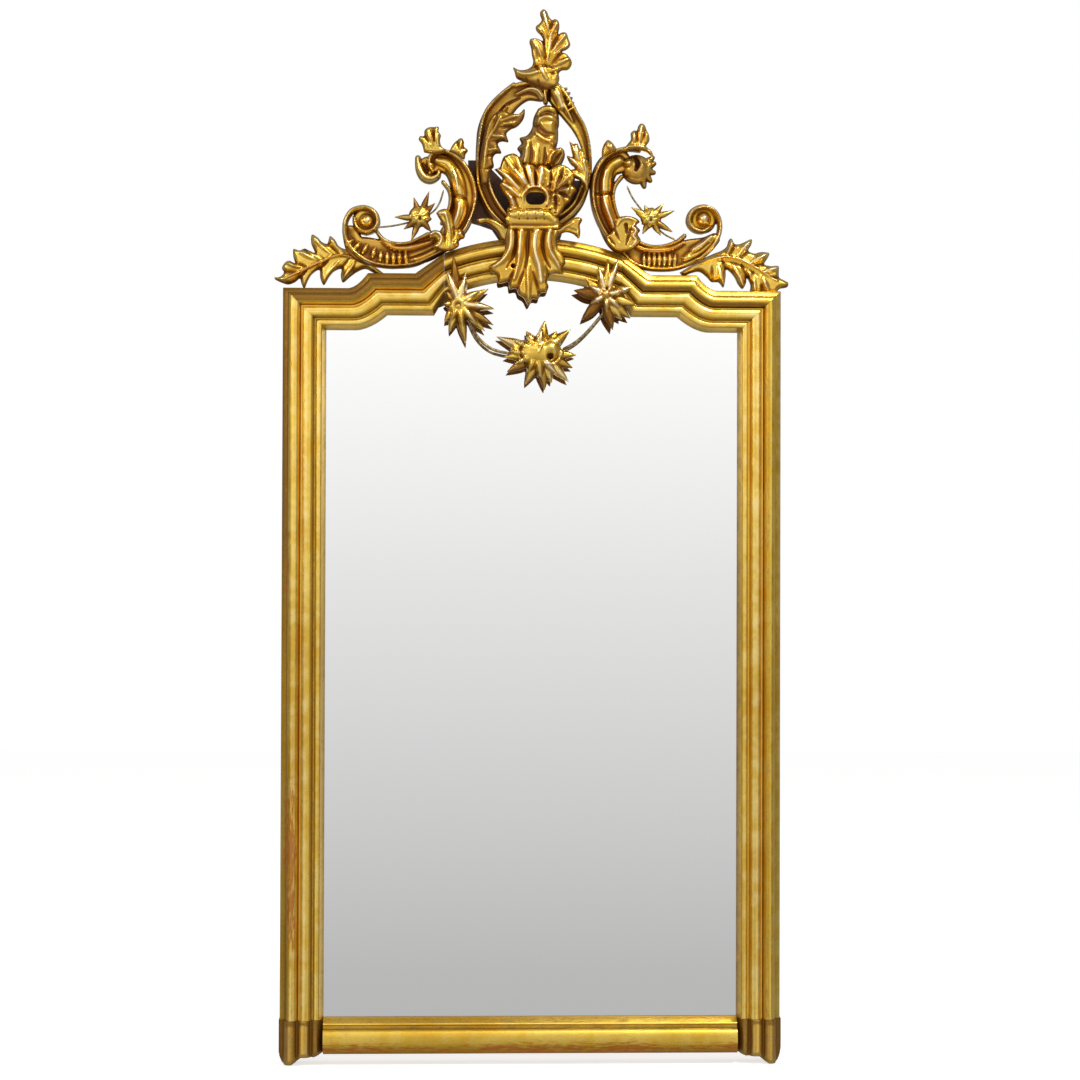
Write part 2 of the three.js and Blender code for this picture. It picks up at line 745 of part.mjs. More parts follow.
// The oval ring is two limbs that spring from behind the clasp and meet under the finial
const ringTop = 22; // their joint, right of the centre line
const ringTopBase = 200; // the joint's lower end, over the crown
const limbLeft = [
  [26, 292, 10], [4, 294, 11], [-21, 284, 14], [-53, 259, 16], [-74, 228, 15],
  [-86, 192, 14], [-91, 151, 12], [-92, 111, 12], [-86, 76, 15], [-68, 46, 19],
  [-40, 27, 20], [-6, 21, 18],
];
const limbRight = [
  [18, 292, 10], [38, 288, 11], [54, 274, 13], [66, 247, 13], [80, 221, 13],
  [92, 190, 13], [99, 158, 10], [100, 126, 10], [95, 95, 11], [82, 67, 13],
  [61, 44, 15], [35, 29, 16], [5, 21, 15],
];
const limb = (stations) => carved(onCrown(stations), scrollLayer, scrollThickness, 24);
const beyond = (sign) => {
  const line = ringTop - (sign * jointGap) / 2;
  const range = sign > 0 ? [line, reach] : [-reach, line];
  return box(...range, crown + ringTopBase, reach, -reach, reach);
};
add("ring_limb_left", "carving", cut(limb(limbLeft), seat, beyond(1)));
add("ring_limb_right", "carving", cut(limb(limbRight), seat, beyond(-1)));

// Calyx inside the ring: a flared bell with a curled bud on its rim
const rimHeight = 214; // where the bud sits on the bell
const bell = [
  [2, rimHeight], [51, rimHeight], [55, 196], [64, 178], [65, 164], [54, 151], [51, 126],
  [-20, 126], [-28, 149], [-27, 179], [-14, 187], [0, 199],
];
const bud = [ // heights from the bell's rim
  [6, jointGap], [51, jointGap], [50, 17], [48, 33], [42, 42], [30, 39], [22, 29],
  [10, 23], [3, 14],
].map(([x, z]) => [x, rimHeight + z]);
add("calyx_bell", "carving", slab(onCrown(bell), scrollLayer, scrollThickness, shellEdge));
add("bud", "carving", slab(onCrown(bud), scrollLayer, budThickness, claspEdge));

// Rocaille shell with its eye drilled through
const shell = [
  [-36, 21], [45, 21], [58, 43], [72, 59], [84, 75], [88, 93], [86, 115],
  [80, 131], [62, 138], [50, 143], [42, 137], [33, 146], [21, 143], [12, 149],
  [4, 141], [-6, 149], [-16, 143], [-28, 145], [-46, 161], [-50, 143],
  [-68, 133], [-55, 117], [-58, 99], [-50, 86], [-46, 65],
];
const eye = [9, 76];
const eyeRadius = 17;
const shellFront = leafLayer + shellThickness;
const shellSlab = slab(onCrown(shell), leafLayer, shellThickness, shellEdge);
const drill = bar(eyeRadius, eye[0], crown + eye[1], leafLayer - past, shellFront + past, 16);
add("shell", "carving", cut(shellSlab, drill));

// Clasp: a rolled band over a fluted leaf that falls across the arch
const bandBase = 17; // height of the joint between band and clasp
const bandHeight = 37;
const bandTaper = 4; // at each end, above and below
const bandMiddle = bandBase + bandHeight / 2;
const bandStations = [
  [-42, bandMiddle, bandHeight / 2 - bandTaper],
  [-20, bandMiddle, bandHeight / 2],
  [30, bandMiddle, bandHeight / 2],
  [52, bandMiddle, bandHeight / 2 - bandTaper],
];
const clasp = [
  [50, -9], [56, -24], [64, -44], [63, -72], [48, -76], [31, -81], [27, -100],
  [14, -101], [-6, -125], [-18, -103], [-30, -99], [-40, -95], [-45, -85],
  [-59, -83], [-62, -69], [-78, -51], [-66, -37], [-58, -24], [-53, -7],
];
const claspTop = [[-49, bandBase - jointGap], [48, bandBase - jointGap]];
const claspBack = frameFront;
const bandBulge = box(-reach, reach, 0, crown + bandBase, bandLayer - past, reach);
const band = carved(onCrown(bandStations), bandLayer, bandThickness, 8);
add("clasp_band", "carving", cut(band, bandBulge));
add("clasp", "carving", slab(onCrown([...claspTop, ...clasp]), claspBack, claspThickness, claspEdge));

// Leaves laid on the scrolls and limbs
const leaves = {
  limb_leaf_left: [
    [-14, 269], [-10, 247], [-19, 225], [-34, 207], [-48, 196], [-44, 183],
    [-63, 181], [-57, 162], [-78, 139], [-94, 131], [-98, 153], [-90, 193],
    [-78, 228], [-54, 257], [-34, 273],
  ],
  limb_leaf_right: [
    [77, 188], [97, 195], [108, 179], [112, 163], [113, 139], [108, 119],
    [97, 119], [92, 137], [83, 145], [88, 159], [78, 167], [84, 177],
  ],
  scroll_leaf_left_outer: [
    [-178, 212], [-170, 199], [-166, 187], [-162, 175], [-170, 167], [-164, 155],
    [-192, 153], [-199, 169], [-206, 177], [-216, 183], [-208, 191], [-199, 193],
    [-196, 205], [-187, 202],
  ],
  scroll_leaf_left_inner: [
    [-134, 190], [-126, 180], [-119, 168], [-122, 151], [-148, 147], [-157, 163],
    [-149, 174], [-144, 183],
  ],
  scroll_leaf_right_outer: [
    [211, 219], [219, 206], [216, 197], [226, 189], [214, 177], [205, 159],
    [180, 153], [176, 171], [185, 183], [188, 193], [190, 205], [203, 203],
  ],
  scroll_leaf_right_inner: [
    [146, 188], [155, 180], [158, 171], [169, 167], [163, 151], [136, 145],
    [129, 161], [137, 173],
  ],
  junction_leaf_left: [
    [-168, 56], [-158, 43], [-150, 29], [-138, 23], [-127, 11], [-123, 2],
    [-138, -5], [-150, -14], [-172, -19], [-196, -11], [-187, -1], [-191, 9],
    [-177, 17], [-173, 33],
  ],
  junction_leaf_right: [
    [188, 46], [201, 38], [197, 25], [187, 21], [183, 9], [194, -3], [190, -17],
    [160, -19], [146, -9], [148, 11], [158, 25], [165, 39], [177, 44],
  ],
  finial_leaf: [
    [24, 435], [30, 432], [40, 417], [52, 413], [50, 399], [53, 388], [66, 390],
    [74, 367], [59, 356], [68, 346], [77, 337], [70, 321], [55, 320], [50, 299],
    [42, 281], [28, 277], [10, 279], [0, 289], [-14, 297], [-27, 305], [-32, 325],
    [-10, 323], [4, 335], [1, 359], [-1, 378], [10, 380], [18, 388], [9, 402],
    [20, 415], [17, 432],
  ],
};
for (const [name, outline] of Object.entries(leaves)) add(name, "carving", seated(leaf(outline)));

// Two short leaves curl out from behind the clasp
const claspLeafThickness = claspBack - jointGap - leafLayer;
const claspLeaves = {
  clasp_leaf_left: [
    [-34, 17], [-56, 18], [-64, 27], [-76, 32], [-90, 31], [-103, 35], [-106, 24], [-94, 19],
    [-80, 13], [-70, 0], [-34, 0],
  ],
  clasp_leaf_right: [
    [34, 17], [58, 18], [68, 29], [80, 37], [90, 43], [97, 37], [94, 27], [98, 15], [93, 3],
    [84, 15], [72, 19], [62, 11], [57, 0], [34, 0],
  ],
};
for (const [name, outline] of Object.entries(claspLeaves)) {
  add(name, "carving", seated(slab(onCrown(outline), leafLayer, claspLeafThickness, leafEdge)));
}

// Side leaves, rooted behind the volutes and lying out over the shoulders
const sideLeaves = {
  side_leaf_left: [
    [-493, -1], [-480, -12], [-467, -18], [-448, -12], [-433, -24], [-420, -7],
    [-403, 10], [-394, -18], [-374, 7], [-361, 12], [-358, -14], [-342, -1],
    [-315, 14], [-300, -4], [-280, -4], [-285, 20], [-310, 40], [-353, 50],
    [-367, 56], [-370, 66], [-382, 75], [-386, 60], [-397, 71], [-416, 77],
    [-412, 43], [-428, 50], [-441, 47], [-451, 51], [-448, 24], [-462, 28],
    [-473, 16], [-471, 7], [-480, -1],
  ],
  side_leaf_right: [
    [493, -18], [478, -6], [470, 16], [445, 20], [453, 41], [433, 43], [412, 45],
    [418, 66], [384, 48], [381, 69], [362, 52], [344, 45], [310, 30], [290, 15],
    [285, -4], [305, -4], [344, -4], [356, -6], [366, -22], [370, 9], [384, -6],
    [403, -26], [410, -3], [422, -30], [441, -32], [464, -32],
  ],
};
for (const [name, outline] of Object.entries(sideLeaves)) {
  add(name, "carving", seated(slab(onShoulder(outline), backLayer, backLayerThickness, leafEdge)));
}

// ---------------------------------------------------------------- flowers and wires
// A spindle-shaped petal from the flower's heart to its tip, both in one plane
function petal([x, z], tip, width, backDepth, thickness) {
  const length = Math.hypot(...tip);
  const geometry = new THREE.SphereGeometry(0.5, 6, 4);
  geometry.rotateZ(Math.PI / 2).scale(length, thickness, width);
  geometry.rotateY(-Math.atan2(tip[1], tip[0]));
  return geometry.translate(x + tip[0] / 2, -(backDepth + thickness / 2), z + tip[1] / 2);
}

function flower(heart, tips, width, cupRadius, backDepth, thickness) {
  const [centre] = onCrown([heart]);
  const petals = tips.map((tip) => petal(centre, tip, width, backDepth, thickness * petalShare));
  return joined(boss(...centre, cupRadius, backDepth, thickness), ...petals);
}

// A round wire along [x, height] points, at one depth
function wire(points, radius, backDepth, samples) {
  const route = new THREE.CatmullRomCurve3(
    onCrown(points).map(([x, z]) => new THREE.Vector3(x, -(backDepth + radius), z)),
    false,
    "centripetal",
  );
  const section = new THREE.Shape(
    Array.from({ length: 8 }, (_, k) => {
      const angle = (Math.PI * (k + 0.5)) / 4;
      return new THREE.Vector2(radius * Math.cos(angle), radius * Math.sin(angle));
    }),
  );
  return new THREE.ExtrudeGeometry(section, { extrudePath: route, steps: samples });
}

const rosetteBack = leafLayer + 2 * rosetteWire + jointGap;
const rosettePetal = 12;
const rosetteCup = 19;
const rosettes = {
  left: {
    heart: [-211, 37],
    tips: [[-11, 40], [17, 50], [32, 24], [-48, 3], [-29, -21], [-14, -38], [22, -20], [-34, 24]],
    wire: [[-298, 26], [-250, 26], [-211, 37], [-172, 84], [-127, 112]],
  },
  right: {
    heart: [227, 37],
    tips: [[26, 27], [46, 12], [42, -25], [19, -34], [-34, 20], [-12, 30], [-24, -30], [6, 36]],
    wire: [[139, 112], [182, 94], [227, 37], [262, 4], [290, -22]],
  },
};
for (const [name, rosette] of Object.entries(rosettes)) {
  const { heart, tips } = rosette;
  add(`rosette_wire_${name}`, "wire", wire(rosette.wire, rosetteWire, leafLayer, 16));
  add(
    `rosette_${name}`,
    "carving",
    flower(heart, tips, rosettePetal, rosetteCup, rosetteBack, rosetteThickness),
  );
}

const flowerBack = frameFront + 2 * garlandWire + jointGap;
const flowerPetal = 17;
const flowerCup = 24;
const flowers = {
  left: {
    heart: [-135, -123],
    tips: [
      [67, -8], [60, -39], [45, -56], [11, -76], [-22, -60], [-42, -40], [53, 29], [-29, 60],
      [8, 64], [-8, 92], [-50, 10],
    ],
  },
  middle: {
    heart: [19, -218],
    tips: [
      [8, 63], [55, 46], [66, -4], [60, -27], [51, -51], [21, -57], [-8, -67], [-36, -55],
      [-65, -34], [-70, -6], [-84, 30], [-25, 44], [32, 55],
    ],
  },
  right: {
    heart: [144, -109],
    tips: [
      [-62, 14], [-48, -45], [-20, -56], [13, -63], [36, -44], [50, -18], [48, 18], [-18, 62],
      [23, 64], [3, 78], [-46, -16],
    ],
  },
};
for (const [name, { heart, tips }] of Object.entries(flowers)) {
  const geometry = flower(heart, tips, flowerPetal, flowerCup, flowerBack, flowerThickness);
  add(`garland_flower_${name}`, "carving", geometry);
}
const stems = {
  left: [[-150, -48], [-138, -100], [-116, -167], [-80, -210], [-34, -222], [15, -220]],
  right: [[150, -48], [150, -100], [118, -160], [84, -198], [56, -216], [23, -220]],
};
for (const [name, points] of Object.entries(stems)) {
  add(`garland_stem_${name}`, "wire", wire(points, garlandWire, frameFront, 18));
}

// The origin is on the wall, at the middle of the bottom rail's back
mirror.position.z = -(bottomRailBase + (bottomRailHeight - rebateWidth) / 2);

export default mirror;
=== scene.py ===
import math

import bmesh
import bpy
import numpy as np
from mathutils import Matrix, Vector


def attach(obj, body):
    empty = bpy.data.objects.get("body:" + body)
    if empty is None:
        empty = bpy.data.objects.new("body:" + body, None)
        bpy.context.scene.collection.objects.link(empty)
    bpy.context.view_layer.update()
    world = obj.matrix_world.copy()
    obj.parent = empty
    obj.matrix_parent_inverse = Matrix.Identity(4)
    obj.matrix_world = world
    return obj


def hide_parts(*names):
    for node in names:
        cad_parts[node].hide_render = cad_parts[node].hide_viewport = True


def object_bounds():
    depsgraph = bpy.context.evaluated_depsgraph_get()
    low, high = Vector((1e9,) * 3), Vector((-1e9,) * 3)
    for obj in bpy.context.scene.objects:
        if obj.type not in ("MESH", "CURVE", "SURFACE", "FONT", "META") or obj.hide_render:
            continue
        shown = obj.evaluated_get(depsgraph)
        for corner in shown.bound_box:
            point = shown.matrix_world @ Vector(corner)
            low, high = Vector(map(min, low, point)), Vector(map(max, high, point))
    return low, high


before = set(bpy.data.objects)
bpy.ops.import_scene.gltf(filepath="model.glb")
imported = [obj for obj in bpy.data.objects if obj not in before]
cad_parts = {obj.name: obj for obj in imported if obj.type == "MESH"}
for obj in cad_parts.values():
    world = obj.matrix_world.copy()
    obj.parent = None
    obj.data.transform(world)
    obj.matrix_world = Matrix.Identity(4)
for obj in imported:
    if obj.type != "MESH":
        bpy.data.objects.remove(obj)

cad_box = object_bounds()
scene = bpy.context.scene
scene.view_settings.view_transform = "Standard"
MM = 0.001

# ---------------------------------------------------------------- studio
# The mirror stands on a pale floor in a plain white studio, seen from five metres. A tall card in
# front, white at the top and grey at the foot, is what the plate reflects.
SQUARES = 1080  # the carver's pattern has this many squares across the view
FOCAL = 2604.3  # of the camera, in squares
EYE = Vector((-0.1777, -5.0, 0.8687))
YAW, PITCH, ROLL = -0.0389, 0.0157, -0.0031
turn = (Matrix.Rotation(YAW, 3, "Z") @ Matrix.Rotation(math.pi / 2 + PITCH, 3, "X")
        @ Matrix.Rotation(-ROLL, 3, "Z"))
camera = bpy.data.objects.new("camera", bpy.data.cameras.new("camera"))
scene.collection.objects.link(camera)
camera.matrix_world = Matrix.Translation(EYE) @ turn.to_4x4()
camera.data.sensor_width = 36
camera.data.lens = 36 * FOCAL / SQUARES
scene.camera = camera


def at(column, row, depth=50):
    """The place, x and z in mm, of a square of the carver's pattern at a depth from the wall."""
    half = SQUARES / 2
    ray = turn @ Vector((column - half, half - row, -FOCAL))
    place = EYE + ray * ((-depth * MM - EYE.y) / ray.y)
    return place.x / MM, place.z / MM


class Value:
    """A number in a material: sums on it add Math nodes."""

    def __init__(self, tree, socket):
        self.tree, self.socket = tree, socket

    def math(self, operation, first, second):
        node = self.tree.nodes.new("ShaderNodeMath")
        node.operation = operation
        plug(self.tree, node.inputs[0], first)
        plug(self.tree, node.inputs[1], second)
        return Value(self.tree, node.outputs[0])

    def __add__(self, other):
        return self.math("ADD", self, other)

    def __sub__(self, other):
        return self.math("SUBTRACT", self, other)

    def __rsub__(self, other):
        return self.math("SUBTRACT", other, self)

    def __mul__(self, other):
        return self.math("MULTIPLY", self, other)

    __radd__, __rmul__ = __add__, __mul__


def plug(tree, socket, value):
    if isinstance(value, Value):
        tree.links.new(value.socket, socket)
    else:
        socket.default_value = value


class Finish:
    """A material, or the world's light, as a tree of nodes."""

    def __init__(self, name, owner=None):
        self.owner = owner or bpy.data.materials.new(name)
        self.owner.use_nodes = True
        self.tree = self.owner.node_tree
        self.tree.nodes.clear()

    def node(self, kind, settings=None, sockets=None, output=0):
        made = self.tree.nodes.new(kind)
        for key, value in (settings or {}).items():
            if key != "stops":
                setattr(made, key, value)
                continue
            ramp = made.color_ramp.elements
            while len(ramp) < len(value):
                ramp.new(0.5)
            for stop, (place, colour) in zip(ramp, value):
                stop.position, stop.color = place, colour
        for key, value in (sockets or {}).items():
            plug(self.tree, made.inputs[key], value)
        return Value(self.tree, made.outputs[output]) if made.outputs else made

    def mix(self, share, first, second):
        return self.node("ShaderNodeMix", {"data_type": "RGBA"}, {0: share, 6: first, 7: second}, 2)

    def ease(self, value, low, high):
        """0 below low, 1 above high, and smooth between them."""
        return self.node("ShaderNodeMapRange", {"interpolation_type": "SMOOTHSTEP"},
                         {0: value, 1: low, 2: high})

    def place(self):
        return self.node("ShaderNodeTexCoord", output="Object")

    def noise(self, place, scale, detail=3.0, roughness=0.55):
        return self.node("ShaderNodeTexNoise", None, {
            "Vector": place, "Scale": scale, "Detail": detail, "Roughness": roughness})

    def stretched(self, place, scale):
        return self.node("ShaderNodeMapping", None, {"Vector": place, "Scale": scale})

    def painted(self, attribute):
        return self.node("ShaderNodeAttribute", {"attribute_name": attribute}, output="Fac")

    def seen(self):
        """1 for what the camera sees, directly or through something clear."""
        return sum(self.node("ShaderNodeLightPath", output=ray) for ray in
                   ("Is Camera Ray", "Is Transmission Ray"))

    def surface(self, shader):
        world_kind = isinstance(self.owner, bpy.types.World)
        kind = "ShaderNodeOutputWorld" if world_kind else "ShaderNodeOutputMaterial"
        self.node(kind, None, {"Surface": shader})
        return self.owner


def grey(level):
    return (level, level, level, 1)


scene.world = bpy.data.worlds.new("studio")
air = Finish("studio", scene.world)
room_light = air.node("ShaderNodeBackground", None, {"Color": grey(1), "Strength": 0.34})
white = air.node("ShaderNodeBackground", None, {"Color": grey(1), "Strength": 1.0})
air.surface(air.node("ShaderNodeMixShader", None, {0: air.seen(), 1: room_light, 2: white}))


def lamp(name, place, size, power, colour):
    data = bpy.data.lights.new(name, "AREA")
    data.shape, data.size, data.size_y = "RECTANGLE", *size
    data.energy, data.color = power, colour
    made = bpy.data.objects.new(name, data)
    scene.collection.objects.link(made)
    made.location = place
    aim = Vector((0, 0, 1.2)) - made.location
    made.rotation_euler = aim.to_track_quat("-Z", "Y").to_euler()


lamp("high_light", (1.3, -1.6, 3.7), (1.0, 0.6), 62, (1, 0.97, 0.90))
lamp("left_light", (-2.3, -1.5, 2.4), (0.3, 1.6), 22, (1, 0.96, 0.88))


def stage_sheet(name, low, high):
    """A flat sheet between two opposite corners."""
    bm = bmesh.new()
    bmesh.ops.create_grid(bm, x_segments=1, y_segments=1, size=0.5)
    for v in bm.verts:
        f, g = v.co.x + 0.5, v.co.y + 0.5
        v.co = (low[0] + (high[0] - low[0]) * f, *(a + (b - a) * g for a, b in zip(low[1:], high[1:])))
    mesh = bpy.data.meshes.new(name)
    bm.to_mesh(mesh)
    bm.free()
    made = bpy.data.objects.new(name, mesh)
    scene.collection.objects.link(made)
    return made


floor_height = cad_box[0].z - 0.001
floor = stage_sheet("floor", (-9, -9, floor_height), (9, 9, floor_height))
paint = Finish("floor_paint")
lit = paint.node("ShaderNodeBsdfDiffuse", None, {"Color": grey(0.93)})
glow = paint.node("ShaderNodeEmission", None, {"Color": grey(1), "Strength": 0.66})
floor.data.materials.append(paint.surface(paint.node("ShaderNodeAddShader", None, {0: lit, 1: glow})))
floor.visible_glossy = False

card = stage_sheet("reflected_card", (-3.2, -1.7, -0.9), (3.2, -1.7, 3.4))
paint = Finish("card_paint")
spread = paint.node("ShaderNodeSeparateXYZ", None, {"Vector": paint.place()})
height = Value(paint.tree, spread.socket.node.outputs["Z"])
away = Value(paint.tree, spread.socket.node.outputs["X"])
# The card glows and is seen only in reflections: grey at its foot, white in the middle, a darker band
# above that, brighter than white at the top and dark at its far sides, so that it lights the gilding
# with bright and dark bands.
level = paint.node("ShaderNodeMapRange", None, {0: height, 1: -0.5, 2: 3.5})
shade = paint.node("ShaderNodeValToRGB", {"stops": [
    (0.0, grey(0.47)), (0.095, grey(0.52)), (0.338, grey(0.82)), (0.5, grey(1.06)), (0.54, grey(1.1)),
    (0.588, grey(0.6)), (0.675, grey(0.5)), (0.775, grey(1.7)), (1.0, grey(1.7))]}, {0: level})
beside = paint.node("ShaderNodeValToRGB", {"stops": [
    (0.0, grey(0.95)), (0.135, grey(0.9)), (0.304, grey(0.62)), (0.417, grey(1.1)), (0.485, grey(1.8)),
    (0.53, grey(1.6)), (0.58, grey(0.7)), (0.675, grey(0.5)), (0.775, grey(1.7))]}, {0: level})
shade = paint.mix(paint.ease(away, -0.47, -0.56) + paint.ease(away, 0.6, 0.68), shade, beside)
shade = paint.mix(paint.ease(away, -1.5, -2.4) + paint.ease(away, 1.3, 2.2), shade, grey(0.12))
card.data.materials.append(paint.surface(
    paint.node("ShaderNodeEmission", None, {"Color": shade, "Strength": 1.0})))
card.visible_camera = card.visible_diffuse = card.visible_shadow = False
card.visible_transmission = False

# ---------------------------------------------------------------- stiles
# The two upright mouldings: softwood run with a torus, a reed and a bead, coated with gesso and red
# bole and water-gilt. They are mitred to the top rails and butt on the corner feet.
GAP = 0.3
FRAME_HALF, STILE, TOP_RAIL = 475, 82, 79
SIGHT_HALF = FRAME_HALF - STILE
SHOULDER, FOOT_TOP = 1424.5, 37.5


def swell(start, width, foot, crest, steps):
    """Half an ellipse over one member of a moulding, as distance across and depth."""
    angles = [math.pi * k / steps for k in range(steps + 1)]
    return [(start + width * (1 - math.cos(a)) / 2, foot + (crest - foot) * math.sin(a))
            for a in angles]


SECTION = [(0, 0), (0, 44), (1.5, 46), (9.5, 49), *swell(11, 23, 56, 68, 12), (36, 59.5),
           *swell(38, 20, 59, 65, 12), (60.5, 53), *swell(63, 12, 53, 57, 8), (82, 38),
           (82, 33), (68, 33), (68, 0)]
# How dirty and how shaded the section is, by the distance from its outer edge: its grooves and sight
# edge are dark with dirt and with painted shade
DIRT_AND_SHADE = [(0, 0.5), (6, 0.55), (10.5, 0.65), (13, 0.3), (20, 0.1), (28, 0.15), (34, 0.35),
        (37, 0.35), (41, 0.05), (52, 0.05), (56, 0.2), (60.5, 0.5), (64, 0.3), (68, 0.05),
        (73, 0.2), (78, 0.45), (82, 0.7)]


def loft(bm, sections):
    """A closed skin over closed sections, which may shrink to a point at either end."""
    rows, sides = len(sections) - 1, len(sections[0])
    made = bmesh.ops.create_grid(bm, x_segments=rows, y_segments=sides, size=1)["verts"]
    spots = {}
    for v in made:
        i, j = round((v.co.x + 1) / 2 * rows), round((v.co.y + 1) / 2 * sides) % sides
        v.co = sections[i][j]
        spots[v] = (i, j)
    bmesh.ops.remove_doubles(bm, verts=made, dist=1e-7)
    kept = [v for v in made if v.is_valid]
    rim = {e for v in kept for e in v.link_edges if e.is_boundary}
    bmesh.ops.holes_fill(bm, edges=list(rim), sides=0)
    faces = {f for v in kept for f in v.link_faces}
    bmesh.ops.recalc_face_normals(bm, faces=list(faces))
    return {v: spots[v] for v in kept}


def piece(name, bm, node, materials, crease=180, body="frame"):
    """Puts a mesh in a node's place. Edges sharper than the crease, in degrees, stay crisp."""
    mesh = bpy.data.meshes.new(name)
    bm.to_mesh(mesh)
    bm.free()
    if crease:
        mesh.shade_smooth()
        mesh.set_sharp_from_angle(angle=math.radians(crease))
    for material in materials:
        mesh.materials.append(material)
    made = bpy.data.objects.new(name, mesh)
    scene.collection.objects.link(made)
    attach(made, body)
    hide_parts(node)


def moulding(name, node, pairs, profile, width, dirt_and_shade, gilt, wood, painted_light_and_shade=lambda x, z, across: 0.0,
             rubbed=lambda x, z, across: 0.0):
    """Runs a section between pairs of points on its outer and its sight edge; its back is bare."""
    bm = bmesh.new()
    grime_and_shade, rub, red = (bm.verts.layers.float.new(n) for n in ("recess", "ridge", "worn"))
    run = [[((x0 + (x1 - x0) * a / width) * MM, -d * MM, (z0 + (z1 - z0) * a / width) * MM)
            for a, d in profile] for (x0, z0), (x1, z1) in pairs]
    for v, (i, j) in loft(bm, run).items():
        across, depth = profile[j]
        # The recess value mixes dirt with painted shade: the section's table, the painted light and
        # shade by place, and full brown on the deep faces.
        soiled_and_shaded = np.interp(across, *zip(*dirt_and_shade)) + painted_light_and_shade(v.co.x / MM, v.co.z / MM, across) + (depth < 34)
        v[grime_and_shade] = min(1, max(0, soiled_and_shaded))
        # The ridge value, high where the gilding is clean, is a painted highlight.
        v[rub] = max(0, 1 - 2.5 * v[grime_and_shade])
        v[red] = rubbed(v.co.x / MM, v.co.z / MM, across)
    for face in bm.faces:
        face.material_index = face.normal.y > 0.7
    piece(name, bm, node, (gilt, wood), crease=38)


def gilding(name, gold, pale, brown, bole_amount, grime_and_shade_amount, roughness=0.33, run=(9, 9, 1.3)):
    """Old water gilding: leaf over red bole, toned brown in the hollows and rubbed on the crests. The
    brown is dirt and painted shade, and the pale rubbed gold is rubbing and a painted highlight.
    """
    amber, rubbed_gold_and_highlight, bole = (0.62, 0.26, 0.012, 1), (1.0, 0.87, 0.60, 1), (0.40, 0.11, 0.012, 1)
    f = Finish(name)
    place = f.place()
    recess, ridge, tone = f.painted("recess"), f.painted("ridge"), f.painted("tone")
    broad, middle = f.noise(place, 7, 2), f.noise(place, 38, 4, 0.6)
    fine, specks = f.noise(place, 260, 3, 0.6), f.noise(place, 900, 2, 0.7)
    streaks = f.noise(f.stretched(place, run), 34, 4, 0.65)
    colour = f.mix(f.ease(broad * 0.5 + middle * 0.5, 0.38, 0.62), gold, pale)
    colour = f.mix(f.painted("bole") * 0.75, colour, amber)
    # Painted highlight: ridges and positive tone mix in the pale rubbed gold, besides rubbing at random.
    bright = ridge * (0.18 + middle * 0.4) + f.ease(tone, 0.0, 1.0) * 0.8 + (middle - 0.5) * 0.7
    colour = f.mix(f.ease(bright, 0.12, 1.1) * 0.75, colour, rubbed_gold_and_highlight)
    # Painted shade: recesses and negative tone mix in the brown, besides dirt.
    soil_and_shade = recess - tone * 0.85 + (middle - 0.5) * 0.6 + (fine - 0.5) * 0.35
    grime_and_shade = f.ease(soil_and_shade, 0.18, 1.05) * grime_and_shade_amount
    spots = f.ease(fine * 0.6 + specks * 0.4, 0.60, 0.72) * 0.5
    colour = f.mix(grime_and_shade + spots - grime_and_shade * spots, colour, brown)
    worn = f.ease(broad * 0.35 + streaks * 0.65 + f.painted("worn") * 0.35, 0.60, 0.78) * bole_amount
    colour = f.mix(worn, colour, bole)
    dull = 1 - (1 - grime_and_shade * 0.45) * (1 - worn * 0.3)
    rough = roughness + (middle - 0.5) * 0.22 + dull * 0.3
    bump = f.node("ShaderNodeBump", None, {
        "Strength": 0.5, "Distance": 0.0012, "Height": fine * 0.4 + middle * 0.8 + specks * 0.15})
    return f.surface(f.node("ShaderNodeBsdfPrincipled", None, {
        "Base Color": colour, "Metallic": 1 - dull * 0.7, "Roughness": rough, "Normal": bump,
        "Coat Weight": 0.5 - f.ease(dull + recess * 0.6, 0.05, 0.45) * 0.5, "Coat Roughness": 0.16,
        "Coat IOR": 1.75}))


def timber(name, light, dark, grain, along):
    """Planed softwood gone brown with age, its grain running along x, y or z."""
    f = Finish(name)
    scale = [grain, grain, grain]
    scale["xyz".index(along)] = grain * 0.06
    lines = f.noise(f.stretched(f.place(), scale), 1.0, 5, 0.65)
    broad = f.noise(f.place(), 5, 2)
    colour = f.mix(f.ease(lines * 0.7 + broad * 0.3, 0.38, 0.62), dark, light)
    bump = f.node("ShaderNodeBump", None, {"Strength": 0.35, "Distance": 0.001, "Height": lines})
    return f.surface(f.node("ShaderNodeBsdfPrincipled", None, {
        "Base Color": colour, "Roughness": 0.62 + lines * 0.25, "Normal": bump}))


def hump(value, middle, half):
    """1 in the middle of a stretch, falling to 0 at its ends."""
    return max(0, 1 - ((value - middle) / half) ** 2) ** 2


